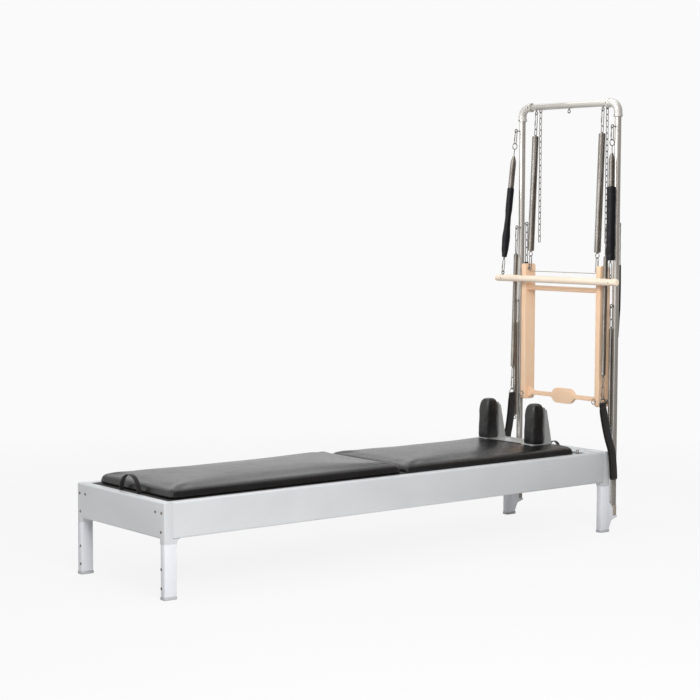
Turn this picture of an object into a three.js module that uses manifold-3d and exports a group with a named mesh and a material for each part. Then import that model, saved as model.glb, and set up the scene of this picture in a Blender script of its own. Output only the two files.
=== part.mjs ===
// Pilates bed with a half tower: a sprung carriage on rails, a removable mat and a tube tower
// Millimetres, +Z up, +X from the foot end to the tower, +Y to the far side of the bed

import * as THREE from "three";
import { mergeVertices } from "three/addons/utils/BufferGeometryUtils.js";
import Module from "manifold-3d";

const wasm = await Module();
wasm.setup();

// Fits that all pieces share
const seat = 0.3; // gap between pieces that rest on or fit round each other
const running = 0.6; // radial gap round a turning or sliding shaft
const overrun = 5; // how far a cutting body runs past what it cuts
const bite = 0.4; // how deep linked wires of one node press into each other
const weld = 0.001; // vertices closer than this are one

// Bed frame
const frameLength = 2500;
const frameWidth = 678;
const railTopZ = 385;
const railHeight = 145;
const railThick = 38;
const railWall = 4;
const railEdgeRadius = 8;
const railInnerRadius = 2;
const endRailThick = 40;
const endRailBlock = 34; // solid length at each end of an end rail
const ledgeReach = 20; // shelf inside the rails that carries the mat
const ledgeThick = 4;
const ledgeDrop = 11; // ledge top below the rail top

// Legs and feet
const legDepth = 57;
const legWidth = 33;
const legEdgeRadius = 5;
const lugDrop = 19; // lug that an end rail sends down onto a leg
const heelReach = 54; // heel that carries a post's cap, beyond a head leg
const heelWidth = 28;
const heelLowZ = 20;
const heelTipZ = 66;
const heelTopZ = 142;
const heelCurve = 6; // how far out the hollow under a heel starts to bend
const lugFilletLong = 18;
const lugFilletShort = 8;
const footHeight = 12;
const footFlare = 2;
const footEdgeRadius = 6;

// Carriage tracks
const trackWebThick = 4;
const trackWebHeight = 60;
const trackFlangeReach = 34;
const trackFlangeThick = 5;
const beadRadius = 4;
const beadReach = 20; // bead centre from the rail's inner face
const beadTopZ = 295.5;
const trackWebUp = 34; // web top above the bead top

// Spring bar and carriage springs
const springBarX = 185;
const springBarDepth = 20;
const springBarHeight = 18;
const springBarTopZ = 360;
const carriageSpringY = 90;
const carriageSpringRadius = 12;
const carriageSpringHook = 3;
const carriageSpringHookLength = 26;

// Mat
const matStartX = 62;
const matEndX = 1266;
const matSideInset = 50; // pad side to the frame's outer face
const matBoardThick = 10;
const matBoardInset = 40;
const matBoardLip = 20; // board beyond the pad at the foot end
const matBoardRadius = 6;
const matPadHeight = 43;
const matCrown = 12;

// Cushion forms
const padCornerRadius = 34;
const padBaseTuck = 5; // base drawn in under the side
const padSideTuck = 5; // long side drawn in between its corners
const padEdgeRadius = 26;

// Pull loop at the mat's foot end
const pullLoopSpan = 140;
const pullLoopRise = 72;
const pullLoopWidth = 20;
const pullLoopThick = 3;

// Carriage
const carriageStartX = 1290;
const carriageParking = 135; // platform end to the head end
const carriageEndX = frameLength - carriageParking;
const carriagePadStartX = 1275;
const platformTail = 35; // platform beyond its pad
const carriagePadEndX = carriageEndX - platformTail;
const carriagePadHeight = 43;
const carriageCrown = 11;
const platformThick = 18;
const platformTopZ = 376;
const platformInset = 62;
const platformRadius = 12;
const springLugHeight = 18;
const springLugDepth = 12;
const springLugWidth = 300;

// Carriage wheels
const wheelFrontInset = 110; // front axle behind the platform start
const wheelFrontX = carriageStartX + wheelFrontInset;
const wheelRearInset = 125; // rear axle ahead of the platform end
const wheelRearX = carriageEndX - wheelRearInset;
const wheelRadius = 28;
const wheelRimRadius = 32;
const wheelWidth = 20;
const wheelHubRadius = 11;
const wheelDish = 4;
const axleRadius = 6;
const hangerThick = 6;
const hangerLength = 56;
const hangerFoot = 12; // hanger below the axle

// Rope eyes on the carriage
const ropeEyeAhead = 15; // rope eye ahead of the platform end
const ropeEyeX = carriageEndX - ropeEyeAhead;
const ropeEyeInset = 72;

// Shoulder rests
const restPlateLength = 131;
const restPlateAhead = 74; // plate end ahead of the pad end
const restPlateEndX = carriagePadEndX - restPlateAhead;
const restPlateStartX = restPlateEndX - restPlateLength;
const restPlateHalfWidth = 192;
const restPlateThick = 5;
const restPlateRadius = 12;
const restCentreY = 158;
const restPadWidth = 82;
const restPadDepth = 72;
const restPadHeight = 192;
const restPadSetback = 13; // pad front behind the plate front
const restPadFrontX = restPlateStartX + restPadSetback;
const restPadBulge = 5;
const restUprightThick = 4;
const restUprightWidth = 64;
const restUprightHeight = 170;
const gussetThick = 4;
const gussetFoot = 42;
const gussetTop = 8;

// Tower tubes
const postBeyond = 37; // post axis beyond the head end
const postX = frameLength + postBeyond;
const postInset = 16;
const tubeRadius = 16;
const tubeWall = 2;
const topTubeZ = 2037;
const elbowRadius = 20;
const elbowBend = 45;
const elbowDrop = 67; // elbow foot under the top tube axis
const elbowDropEndZ = topTubeZ - elbowDrop;
const elbowArmInset = 82;
const collarRadius = 22.5;
const collarLength = 14;
const postBottomZ = 80;
const capRadius = 18;
const capHeight = 50;
const capFloor = 5;
const mountWidth = 26;
const mountHeight = 120;
const mountTopZ = 375;
const mountWrap = 8; // how far the mount reaches round the post

// Eyes, hooks and links
const eyeRadius = 8;
const eyeWire = 2.5;
const eyeShank = 5;
const hookHalfWidth = 7;
const hookWire = 2.2;
const hookLength = 62;
const endRingRadius = 12;
const endRingWire = 2.2;

// Frame springs, from the top tube to the push-through frame
const frameSpringTopInset = 114;
const frameSpringHook = 78;
const frameSpringLink = 33;
const frameSpringRadius = 17;
const frameSpringWire = 2.4;
const frameSpringCurls = 7;

// Chains that hang beside the frame springs
const chainEyeTilt = 0.87; // chain eye turned back from straight down, in radians
const chainSideStep = 8; // chain eye beside the spring's eye, toward the near side
const chainLength = 640;
const chainLinks = 16;
const chainLinkHalfWidth = 6.5;
const chainWire = 2;

// Roll-down bar and its springs
const barInset = 47; // bar axis ahead of the head end
const barX = frameLength - barInset;
const barZ = 1192;
const barRadius = 16.5;
const barReach = 72; // bar end beyond the frame's outer face
const barLength = frameWidth + 2 * barReach;
const barEndRadius = 5;
const barEyeOutset = 27; // eye beyond the frame's outer face
const barSpringDrop = 114; // bar spring eye under the top tube axis
const barSpringEyeZ = topTubeZ - barSpringDrop;
const barSpringAhead = 4; // upper eyes ahead of the head end
const barSpringX = frameLength - barSpringAhead;
const barSpringInset = 13.5;
const barSpringRadius = 15.5;
const barSpringWire = 2.4;
const barSpringCurls = 3;
const barRingRadius = 15;
const barStemLength = 34; // straight wire between a bar spring's ring and its coil
const barSleeveRadius = 22.5;
const barCoilInSleeve = 110;
const barSleeveLength = 345;
const barSpringCore = 5;

// Low springs on the posts
const lowSpringBeyond = 6;
const lowSpringX = frameLength + lowSpringBeyond;
const lowSpringInset = 13;
const lowSpringEyeZ = 1077;
const lowSpringEndZ = 480;
const lowSpringLink = 40;
const lowSpringRadius = 10.5;
const lowSpringWire = 2;
const lowSpringCurls = 6;

// Leg springs and their padded loops
const legSpringAhead = 12;
const legSpringX = frameLength - legSpringAhead;
const legSpringEndAhead = 28;
const legSpringEndX = frameLength - legSpringEndAhead;
const legSpringInset = 34;
const legSpringEyeZ = 1444;
const legSpringEndInset = 28;
const legSpringRadius = 12;
const legSpringWire = 2.2;
const legSpringCurls = 7;
const legSpringTopLink = 66;
const legSpringEndLink = 52;
const legSpringLinkHalfWidth = 5;
const loopTopZ = 612;
const loopEndZ = 251;
const loopWidth = 34;
const loopLayer = 8;
const loopSlit = 7;
const loopSeam = 24; // sewn length under the ring
const loopLean = 0.045; // how far a loop leans toward its post, per length it hangs down
const ringBarHalfWidth = 17;
const ringHeight = 26;
const ringWire = 2.5;
const loopDropShares = [0, 0.14, 0.31, 0.47, 0.61, 0.8, 1];
const loopSwayShares = [0, 0.1, 0.3, 0.56, 0.84, 0.97, 1];
const nearLoopEndInset = -34;
const farLoopEndInset = -22;

// Safety straps behind the posts
const strapEyeZ = 1462;
const strapInset = 24;
const strapLinks = 5;
const strapLinkLength = 42;
const strapLength = 345;
const strapWidth = 25;
const strapThick = 6;
const strapTaperShare = 0.4;
const strapTipShare = 0.35;

// Push-through frame
const boardInset = 85; // board centre from the frame's outer face
const boardThick = 28;
const boardDepth = 70;
const boardBottomZ = 590;
const boardTopZ = 1265;
const boardAhead = 12; // board front ahead of the head end
const boardFrontX = frameLength - boardAhead;
const boardCornerRadius = 12;
const boardEyeSetback = 19; // spring eye behind the board's front
const boardEyeDrop = 25; // spring eye under the board's top
const upperRailHeight = 23;
const upperRailDepth = 45;
const upperRailZ = 1146;
const upperRailRadius = 5;
const lowerRailThick = 22;
const lowerRailZ = 623;
const lowerRailNeck = 20;
const lowerRailEnd = 64;
const paddleHalfWidth = 76;
const paddleHeight = 73;
const flareReach = 42;
const pivotZ = 617;
const pinRadius = 6;
const knobRadius = 11;
const knobLength = 14;

// Steps of round forms
const roundSteps = 16;
const smallSteps = 8;
const cornerSteps = 2;
const legCornerSteps = 1;
const curlSides = 4;
const curlSteps = 8;
const crownSteps = 3;
const ringSides = 4;
const arcSteps = 3;
const bendSteps = 4;
const chainSides = 3;
const wheelSteps = 12;

const halfWidth = frameWidth / 2;
const railBottomZ = railTopZ - railHeight;
const ledgeTopZ = railTopZ - ledgeDrop;
const halfCircle = Math.PI;
const quarter = Math.PI / 2;

const unit = new THREE.Group();

const finishes = {
  frame: () => new THREE.MeshStandardMaterial({ color: 0xd9dce0, roughness: 0.42, metalness: 0.55 }),
  foot: () => new THREE.MeshStandardMaterial({ color: 0xc9cbcb, roughness: 0.7, metalness: 0 }),
  track: () => new THREE.MeshStandardMaterial({ color: 0xb7babd, roughness: 0.38, metalness: 0.8 }),
  steel: () => new THREE.MeshStandardMaterial({ color: 0xb9b3aa, roughness: 0.16, metalness: 1 }),
  fitting: () => new THREE.MeshStandardMaterial({ color: 0xd6d3cb, roughness: 0.3, metalness: 0.9 }),
  cap: () => new THREE.MeshStandardMaterial({ color: 0xa3968a, roughness: 0.55, metalness: 0.1 }),
  spring: () => new THREE.MeshStandardMaterial({ color: 0x6f6862, roughness: 0.3, metalness: 1 }),
  chrome: () => new THREE.MeshStandardMaterial({ color: 0xd8dadb, roughness: 0.14, metalness: 1 }),
  vinyl: () => new THREE.MeshStandardMaterial({ color: 0x232323, roughness: 0.46, metalness: 0 }),
  webbing: () => new THREE.MeshStandardMaterial({ color: 0x161616, roughness: 0.8, metalness: 0 }),
  sleeve: () => new THREE.MeshStandardMaterial({ color: 0x2a2b30, roughness: 0.62, metalness: 0 }),
  maple: () => new THREE.MeshStandardMaterial({ color: 0xe9c99c, roughness: 0.5, metalness: 0 }),
  ply: () => new THREE.MeshStandardMaterial({ color: 0xb08d62, roughness: 0.7, metalness: 0 }),
  bracket: () => new THREE.MeshStandardMaterial({ color: 0xaeb0ae, roughness: 0.4, metalness: 0.7 }),
  wheel: () => new THREE.MeshStandardMaterial({ color: 0x3b3b3d, roughness: 0.5, metalness: 0 }),
};

const alongXAxis = new THREE.Vector3(1, 0, 0);
const alongYAxis = new THREE.Vector3(0, 1, 0);
const backAxis = new THREE.Vector3(0, -1, 0);

// Shape helpers

function add(name, geometry, finish) {
  const piece = new THREE.Mesh(geometry, finishes[finish]());
  piece.name = name;
  unit.add(piece);
  return piece;
}

function solidOf(geometry) {
  const loose = geometry.index ? geometry.toNonIndexed() : geometry;
  const bare = new THREE.BufferGeometry();
  bare.setAttribute("position", loose.getAttribute("position"));
  const merged = mergeVertices(bare, weld);
  return new wasm.Manifold(
    new wasm.Mesh({
      numProp: 3,
      vertProperties: Float32Array.from(merged.getAttribute("position").array),
      triVerts: Uint32Array.from(merged.index.array),
    }),
  );
}

function geometryOf(solid) {
  const mesh = solid.getMesh();
  const geometry = new THREE.BufferGeometry();
  geometry.setAttribute("position", new THREE.BufferAttribute(Float32Array.from(mesh.vertProperties), 3));
  geometry.setIndex(new THREE.BufferAttribute(Uint32Array.from(mesh.triVerts), 1));
  geometry.computeVertexNormals();
  return geometry;
}

function join(...pieces) {
  return geometryOf(pieces.map(solidOf).reduce((all, next) => all.add(next)));
}

function cut(body, ...tools) {
  return geometryOf(tools.map(solidOf).reduce((left, tool) => left.subtract(tool), solidOf(body)));
}

function common(a, b) {
  return geometryOf(solidOf(a).intersect(solidOf(b)));
}

function block(x0, x1, y0, y1, z0, z1) {
  const box = new THREE.BoxGeometry(x1 - x0, y1 - y0, z1 - z0);
  return box.translate((x0 + x1) / 2, (y0 + y1) / 2, (z0 + z1) / 2);
}

// A rod between two points
function rod(radius, from, to, steps = smallSteps) {
  const span = new THREE.Vector3().subVectors(to, from);
  const shape = new THREE.CylinderGeometry(radius, radius, span.length(), steps);
  const direction = span.clone().normalize();
  shape.applyQuaternion(new THREE.Quaternion().setFromUnitVectors(alongYAxis, direction));
  const middle = new THREE.Vector3().addVectors(from, to).divideScalar(2);
  return shape.translate(middle.x, middle.y, middle.z);
}

function roundedRectangle(width, height, radius) {
  const x = width / 2 - radius;
  const y = height / 2 - radius;
  const shape = new THREE.Shape();
  shape.absarc(x, -y, radius, -quarter, 0);
  shape.absarc(x, y, radius, 0, quarter);
  shape.absarc(-x, y, radius, quarter, halfCircle);
  shape.absarc(-x, -y, radius, halfCircle, halfCircle + quarter);
  shape.closePath();
  return shape;
}

// A flat outline drawn in X and Y, pulled up from zero
function alongZ(shape, length, curveSegments = cornerSteps) {
  return new THREE.ExtrudeGeometry(shape, { depth: length, bevelEnabled: false, curveSegments });
}

// A flat outline drawn in Y and Z, pulled along X from zero
function alongX(shape, length, curveSegments = cornerSteps) {
  const turn = new THREE.Matrix4().makeBasis(
    new THREE.Vector3(0, 1, 0),
    new THREE.Vector3(0, 0, 1),
    new THREE.Vector3(1, 0, 0),
  );
  return alongZ(shape, length, curveSegments).applyMatrix4(turn);
}

// A flat outline drawn in X and Z, pulled along Y and centred there
function alongY(shape, length, curveSegments = cornerSteps) {
  return alongZ(shape, length, curveSegments).rotateX(quarter).translate(0, length / 2, 0);
}

function gridSurface(rings, closedAlong, closedRound) {
  const count = rings[0].length;
  const positions = [];
  const faces = [];
  for (const ring of rings) {
    for (const p of ring) positions.push(p.x, p.y, p.z);
  }
  const rows = closedAlong ? rings.length : rings.length - 1;
  for (let i = 0; i < rows; i++) {
    const here = i * count;
    const next = ((i + 1) % rings.length) * count;
    for (let k = 0; k < count; k++) {
      const m = (k + 1) % count;
      faces.push(here + k, here + m, next + m, here + k, next + m, next + k);
    }
  }
  if (closedRound) {
    const last = (rings.length - 1) * count;
    for (let k = 1; k < count - 1; k++) {
      faces.push(0, k + 1, k);
      faces.push(last, last + k, last + k + 1);
    }
  }
  const surface = new THREE.BufferGeometry();
  surface.setAttribute("position", new THREE.Float32BufferAttribute(positions, 3));
  surface.setIndex(faces);
  surface.computeVertexNormals();
  return surface;
}

// A closed tube that follows points in order and has flat ends
function wireAlong(points, radius, sides = curlSides) {
  const rings = [];
  let side = new THREE.Vector3(1, 0, 0);
  points.forEach((point, i) => {
    const before = points[Math.max(i - 1, 0)];
    const after = points[Math.min(i + 1, points.length - 1)];
    const tangent = new THREE.Vector3().subVectors(after, before).normalize();
    side = side.clone().addScaledVector(tangent, -side.dot(tangent)).normalize();
    const up = new THREE.Vector3().crossVectors(tangent, side);
    rings.push(sectionRing(point, side, up, radius, sides));
  });
  return gridSurface(rings, false, true);
}

// A closed ring of wire whose points lie in the plane that the normal stands on
function wireRing(points, normal, radius, sides = ringSides) {
  const rings = points.map((point, i) => {
    const before = points[(i + points.length - 1) % points.length];
    const after = points[(i + 1) % points.length];
    const tangent = new THREE.Vector3().subVectors(after, before).normalize();
    const up = new THREE.Vector3().crossVectors(tangent, normal);
    return sectionRing(point, normal, up, radius, sides);
  });
  return gridSurface(rings, true, false);
}

function sectionRing(centre, side, up, radius, sides) {
  const ring = [];
  for (let k = 0; k < sides; k++) {
    const angle = (2 * halfCircle * k) / sides - quarter;
    const point = centre.clone();
    point.addScaledVector(side, radius * Math.cos(angle));
    point.addScaledVector(up, radius * Math.sin(angle));
    ring.push(point);
  }
  return ring;
}

// Wire centre points of a long ring with eight corners, from its top down, in the plane of "across" and Z
function longRingPoints(topZ, halfSpan, length, across) {
  const cornerStep = halfSpan * Math.tan(quarter / 4);
  const endZ = topZ - length;
  const drop = halfSpan - cornerStep;
  const corners = [
    [halfSpan, endZ + drop],
    [halfSpan, topZ - drop],
    [cornerStep, topZ],
    [-cornerStep, topZ],
    [-halfSpan, topZ - drop],
    [-halfSpan, endZ + drop],
    [-cornerStep, endZ],
    [cornerStep, endZ],
  ];
  return corners.map(([sideways, z]) => across.clone().multiplyScalar(sideways).setZ(z));
}

// A long ring that lies in the Y and Z plane, its top wire centre at topZ
function hookRing(topZ, halfSpan, length, wire, sides = ringSides) {
  return wireRing(longRingPoints(topZ, halfSpan, length, alongYAxis), alongXAxis, wire, sides);
}

// The same ring turned into the X and Z plane
function crossRing(topZ, halfSpan, length, wire, sides = ringSides) {
  return wireRing(longRingPoints(topZ, halfSpan, length, alongXAxis), backAxis, wire, sides);
}

// A round eye in the X and Z plane
function eye(x, y, z, radius = eyeRadius, wire = eyeWire) {
  return crossRing(radius, radius, 2 * radius, wire).translate(x, y, z);
}

// Turns a hanging form, drawn down from the origin, onto the line between two points
function hangBetween(geometry, from, to) {
  const line = new THREE.Vector3().subVectors(to, from).normalize();
  const turn = new THREE.Quaternion().setFromUnitVectors(new THREE.Vector3(0, 0, -1), line);
  return geometry.applyQuaternion(turn).translate(from.x, from.y, from.z);
}

// Wire centre points of a spring that hangs from topZ to endZ, its ends straight and on its axis
function coilPoints(topZ, endZ, outerRadius, wire, curls) {
  const radius = outerRadius - wire;
  const straight = 2 * wire;
  const points = [new THREE.Vector3(0, 0, topZ)];
  const steps = curls * curlSteps;
  const rampSteps = curlSteps;
  const pitch = (topZ - endZ - 2 * straight) / steps;
  for (let i = 0; i <= steps; i++) {
    const inward = Math.min(i, steps - i, rampSteps) / rampSteps;
    const reach = radius * Math.sin(quarter * inward);
    const angle = (2 * halfCircle * i) / curlSteps;
    const z = topZ - straight - pitch * i;
    points.push(new THREE.Vector3(reach * Math.cos(angle), reach * Math.sin(angle), z));
  }
  points.push(new THREE.Vector3(0, 0, endZ));
  return points;
}

// The least gap between one curl and the next, measured on the wire's centre points
function leastGap(points, wire) {
  let least = Infinity;
  const apart = curlSteps / 2 + 1;
  points.forEach((point, i) => {
    points.slice(i + apart).forEach((other) => {
      least = Math.min(least, point.distanceTo(other) - 2 * wire);
    });
  });
  return least;
}

function springWire(name, topZ, endZ, outerRadius, wire, curls) {
  const points = coilPoints(topZ, endZ, outerRadius, wire, curls);
  console.log(name + ": least gap between curls " + leastGap(points, wire).toFixed(2) + " mm");
  return wireAlong(points, wire);
}

// Height of a pad's crown over its edge, at a share of the way out from its middle
function crownLift(crown, share) {
  const level = (step) => crown * (1 - (Math.max(step, 1) / crownSteps) ** 2);
  const step = Math.floor(share * crownSteps);
  return level(step) + (level(step + 1) - level(step)) * (share * crownSteps - step);
}

// An upholstered pad: a rounded outline, sides drawn in, a soft edge and a crowned top
function cushion(x0, x1, halfSpan, baseZ, height, crown) {
  const middle = (x0 + x1) / 2;
  const halfLength = (x1 - x0) / 2;
  const cornerStepCount = 4;
  const sideStepCount = 6;
  const outline = (inset) => {
    const ring = [];
    const radius = Math.max(padCornerRadius - inset, padCornerRadius / 4);
    const x = halfLength - inset - radius;
    const y = halfSpan - inset - radius;
    const corners = [
      [x, -y, -quarter],
      [x, y, 0],
      [-x, y, quarter],
      [-x, -y, halfCircle],
    ];
    corners.forEach(([cx, cy, start], c) => {
      for (let k = 0; k <= cornerStepCount; k++) {
        const angle = start + (quarter * k) / cornerStepCount;
        ring.push([cx + radius * Math.cos(angle), cy + radius * Math.sin(angle), 0]);
      }
      const [nx, ny] = corners[(c + 1) % corners.length];
      const long = c % 2 === 1;
      const count = long ? sideStepCount : sideStepCount / 2;
      for (let k = 1; k < count; k++) {
        const share = k / count;
        const bow = padSideTuck * Math.sin(halfCircle * share);
        if (long) ring.push([cx + (nx - cx) * share, Math.sign(cy) * (y + radius - bow), bow]);
        else ring.push([Math.sign(cx) * (x + radius - bow), cy + (ny - cy) * share, bow]);
      }
    });
    return ring;
  };
  const rings = [];
  const lift = (inset, z) => {
    rings.push(outline(inset).map(([x, y]) => new THREE.Vector3(middle + x, y, z)));
  };
  const sideZ = baseZ + height - padEdgeRadius;
  lift(padBaseTuck, baseZ);
  lift(0, baseZ + (sideZ - baseZ) / 2);
  lift(0, sideZ);
  const edgeStepCount = 3;
  for (let k = 1; k <= edgeStepCount; k++) {
    const angle = (quarter * k) / edgeStepCount;
    lift(padEdgeRadius * (1 - Math.cos(angle)), sideZ + padEdgeRadius * Math.sin(angle));
  }
  const topOutline = outline(padEdgeRadius);
  for (let k = crownSteps - 1; k > 0; k--) {
    const share = k / crownSteps;
    const z = baseZ + height + crownLift(crown, share);
    rings.push(topOutline.map(([x, y]) => new THREE.Vector3(middle + x * share, y * share, z)));
  }
  return gridSurface(rings, false, true);
}

// Bed frame

function sideRailShape() {
  const shape = new THREE.Shape();
  const r = railEdgeRadius;
  const q = railInnerRadius;
  const ledgeTop = railHeight - ledgeDrop;
  shape.moveTo(r, 0);
  shape.lineTo(railThick - q, 0);
  shape.absarc(railThick - q, q, q, -quarter, 0);
  shape.lineTo(railThick, ledgeTop - ledgeThick);
  shape.lineTo(railThick + ledgeReach, ledgeTop - ledgeThick);
  shape.lineTo(railThick + ledgeReach, ledgeTop);
  shape.lineTo(railThick, ledgeTop);
  shape.lineTo(railThick, railHeight - q);
  shape.absarc(railThick - q, railHeight - q, q, 0, quarter);
  shape.lineTo(r, railHeight);
  shape.absarc(r, railHeight - r, r, quarter, halfCircle);
  shape.lineTo(0, r);
  shape.absarc(r, r, r, halfCircle, halfCircle + quarter);
  const hollow = new THREE.Path();
  hollow.moveTo(railWall, railWall);
  hollow.lineTo(railWall, railHeight - railWall);
  hollow.lineTo(railThick - railWall, railHeight - railWall);
  hollow.lineTo(railThick - railWall, railWall);
  hollow.closePath();
  shape.holes.push(hollow);
  return shape;
}

function sideRails() {
  const length = frameLength - 2 * endRailThick - 2 * seat;
  for (const [side, turn] of [
    ["near", 0],
    ["far", halfCircle],
  ]) {
    const rail = alongX(sideRailShape(), length);
    rail.translate(-length / 2, -halfWidth, railBottomZ);
    rail.rotateZ(turn);
    rail.translate(frameLength / 2, 0, 0);
    add(side + "_side_rail", rail, "frame");
  }
}

// The lug under each corner, with its concave fillets against the rails
function cornerLug() {
  const shape = new THREE.Shape();
  const f = lugFilletLong;
  shape.moveTo(0, railEdgeRadius + seat);
  shape.lineTo(0, -lugDrop);
  shape.lineTo(legDepth, -lugDrop);
  shape.lineTo(legDepth, -f - seat);
  shape.absarc(legDepth + f, -f - seat, f, halfCircle, quarter, true);
  shape.lineTo(endRailThick, -seat);
  shape.lineTo(endRailThick, railEdgeRadius + seat);
  shape.closePath();
  return shape;
}

function endRails() {
  const r = railEdgeRadius;
  const profile = new THREE.Shape();
  profile.moveTo(0, r);
  profile.absarc(r, r, r, halfCircle, halfCircle + quarter);
  profile.lineTo(endRailThick, 0);
  profile.lineTo(endRailThick, railHeight);
  profile.lineTo(r, railHeight);
  profile.absarc(r, railHeight - r, r, quarter, halfCircle);
  const bar = alongY(profile, frameWidth).translate(0, 0, railBottomZ);

  const pocketHalf = halfWidth - endRailBlock;
  const pocket = block(
    railWall,
    endRailThick + overrun,
    -pocketHalf,
    pocketHalf,
    railBottomZ + railWall,
    railTopZ - ledgeDrop - ledgeThick,
  );
  const shell = cut(bar, pocket);

  const ledgeHalf = halfWidth - railThick - ledgeReach - seat;
  const ledge = block(
    railWall / 2,
    endRailThick + ledgeReach,
    -ledgeHalf,
    ledgeHalf,
    ledgeTopZ - ledgeThick,
    ledgeTopZ,
  );
  const bottom = railBottomZ;
  const lugs = [-1, 1].map((sign) => {
    const lug = alongY(cornerLug(), legWidth);
    const f = lugFilletShort;
    const web = new THREE.Shape();
    web.moveTo(-seat, railWall / 2);
    web.lineTo(-seat, -f);
    web.lineTo(0, -f);
    web.absarc(f, -f, f, halfCircle, quarter, true);
    web.lineTo(f, railWall / 2);
    web.closePath();
    const filletLength = endRailThick - railEdgeRadius;
    const fillet = alongX(web, filletLength).translate(-filletLength / 2, 0, 0);
    if (sign > 0) fillet.rotateZ(halfCircle);
    fillet.translate(endRailThick - filletLength / 2, sign * (halfWidth - legWidth), bottom);
    return join(lug.translate(0, sign * (halfWidth - legWidth / 2), bottom), fillet);
  });
  const outer = common(join(shell, ledge, ...lugs), edgeColumn());
  add("foot_end_rail", outer.clone(), "frame");
  add("head_end_rail", outer.clone().rotateZ(halfCircle).translate(frameLength, 0, 0), "frame");
}

// Everything of an end rail lies inside this rounded outline
function edgeColumn() {
  const r = railEdgeRadius;
  const reach = legDepth + lugFilletLong + overrun;
  const plan = new THREE.Shape();
  plan.moveTo(r, -halfWidth);
  plan.lineTo(reach, -halfWidth);
  plan.lineTo(reach, halfWidth);
  plan.lineTo(r, halfWidth);
  plan.absarc(r, halfWidth - r, r, quarter, halfCircle);
  plan.absarc(r, r - halfWidth, r, halfCircle, halfCircle + quarter);
  const low = railBottomZ - lugDrop - overrun;
  return alongZ(plan, railTopZ + overrun - low).translate(0, 0, low);
}

function legs() {
  const topZ = railBottomZ - lugDrop - seat;
  const places = [
    ["foot", legDepth / 2],
    ["head", frameLength - legDepth / 2],
  ];
  for (const [end, x] of places) {
    for (const [side, sign] of [
      ["near", -1],
      ["far", 1],
    ]) {
      const y = sign * (halfWidth - legWidth / 2);
      const legShape = roundedRectangle(legDepth, legWidth, legEdgeRadius);
      const shaft = alongZ(legShape, topZ - footHeight - seat, legCornerSteps);
      shaft.translate(x, y, footHeight + seat);
      const leg = end === "head" ? join(shaft, heel(sign)) : shaft;
      add(`${end}_${side}_leg`, leg, "frame");
      const [footDepth, footWidth] = [legDepth, legWidth].map((size) => size + 2 * footFlare);
      const footShape = roundedRectangle(footDepth, footWidth, footEdgeRadius);
      const foot = alongZ(footShape, footHeight, legCornerSteps).translate(x, y, 0);
      add(`${end}_${side}_foot_pad`, foot, "foot");
    }
  }
}

// The heel of a head leg: a shelf under the post's cap, hollow below, with a cup on the leg's side
function heel(sign) {
  const y = sign * postY;
  const shelfZ = postBottomZ - capFloor - 2 * seat;
  const side = new THREE.Shape();
  side.moveTo(-overrun, heelLowZ);
  side.lineTo(0, heelLowZ);
  side.quadraticCurveTo(heelCurve, heelTipZ, heelReach, heelTipZ);
  side.lineTo(heelReach, shelfZ);
  side.lineTo(0, heelTopZ);
  side.lineTo(-overrun, heelTopZ);
  side.closePath();
  const body = alongY(side, heelWidth).translate(frameLength, y, 0);
  const room = rod(
    (capRadius + seat) / Math.cos(halfCircle / roundSteps),
    new THREE.Vector3(postX, y, shelfZ),
    new THREE.Vector3(postX, y, heelTopZ + overrun),
    roundSteps,
  );
  const ahead = block(
    postX,
    postX + heelReach,
    y - heelWidth,
    y + heelWidth,
    shelfZ,
    heelTopZ + overrun,
  );
  return cut(body, join(room, ahead));
}

function tracks() {
  const flangeTop = beadTopZ - beadRadius;
  const webTop = beadTopZ + trackWebUp;
  const shape = new THREE.Shape();
  shape.moveTo(0, webTop - trackWebHeight);
  shape.lineTo(trackWebThick, webTop - trackWebHeight);
  shape.lineTo(trackWebThick, flangeTop - trackFlangeThick);
  shape.lineTo(trackFlangeReach, flangeTop - trackFlangeThick);
  shape.lineTo(trackFlangeReach, flangeTop);
  shape.lineTo(beadReach + beadRadius, flangeTop);
  shape.absarc(beadReach, flangeTop, beadRadius, 0, halfCircle);
  shape.lineTo(trackWebThick, flangeTop);
  shape.lineTo(trackWebThick, webTop);
  shape.lineTo(0, webTop);
  shape.closePath();
  const length = frameLength - 2 * endRailThick - 2 * seat;
  for (const [side, turn] of [
    ["near", 0],
    ["far", halfCircle],
  ]) {
    const track = alongX(shape, length);
    track.translate(-length / 2, railThick + seat - halfWidth, 0);
    track.rotateZ(turn);
    track.translate(frameLength / 2, 0, 0);
    add(side + "_track", track, "track");
  }
}

function springBar() {
  const half = halfWidth - railThick - seat;
  const lowZ = springBarTopZ - springBarHeight;
  const halfDepth = springBarDepth / 2;
  const bar = block(springBarX - halfDepth, springBarX + halfDepth, -half, half, lowZ, springBarTopZ);
  add("spring_bar", bar, "track");
}

// Mat

function mat() {
  const boardBottom = ledgeTopZ + seat;
  const boardStartX = matStartX - matBoardLip;
  const board = roundedRectangle(matEndX - boardStartX, frameWidth - 2 * matBoardInset, matBoardRadius);
  const middle = (boardStartX + matEndX) / 2;
  add("mat_board", alongZ(board, matBoardThick).translate(middle, 0, boardBottom), "ply");
  const padBase = boardBottom + matBoardThick + seat;
  const pad = cushion(matStartX, matEndX, halfWidth - matSideInset, padBase, matPadHeight, matCrown);
  add("front_mat", pad, "vinyl");
  pullLoop(padBase);
}

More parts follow.
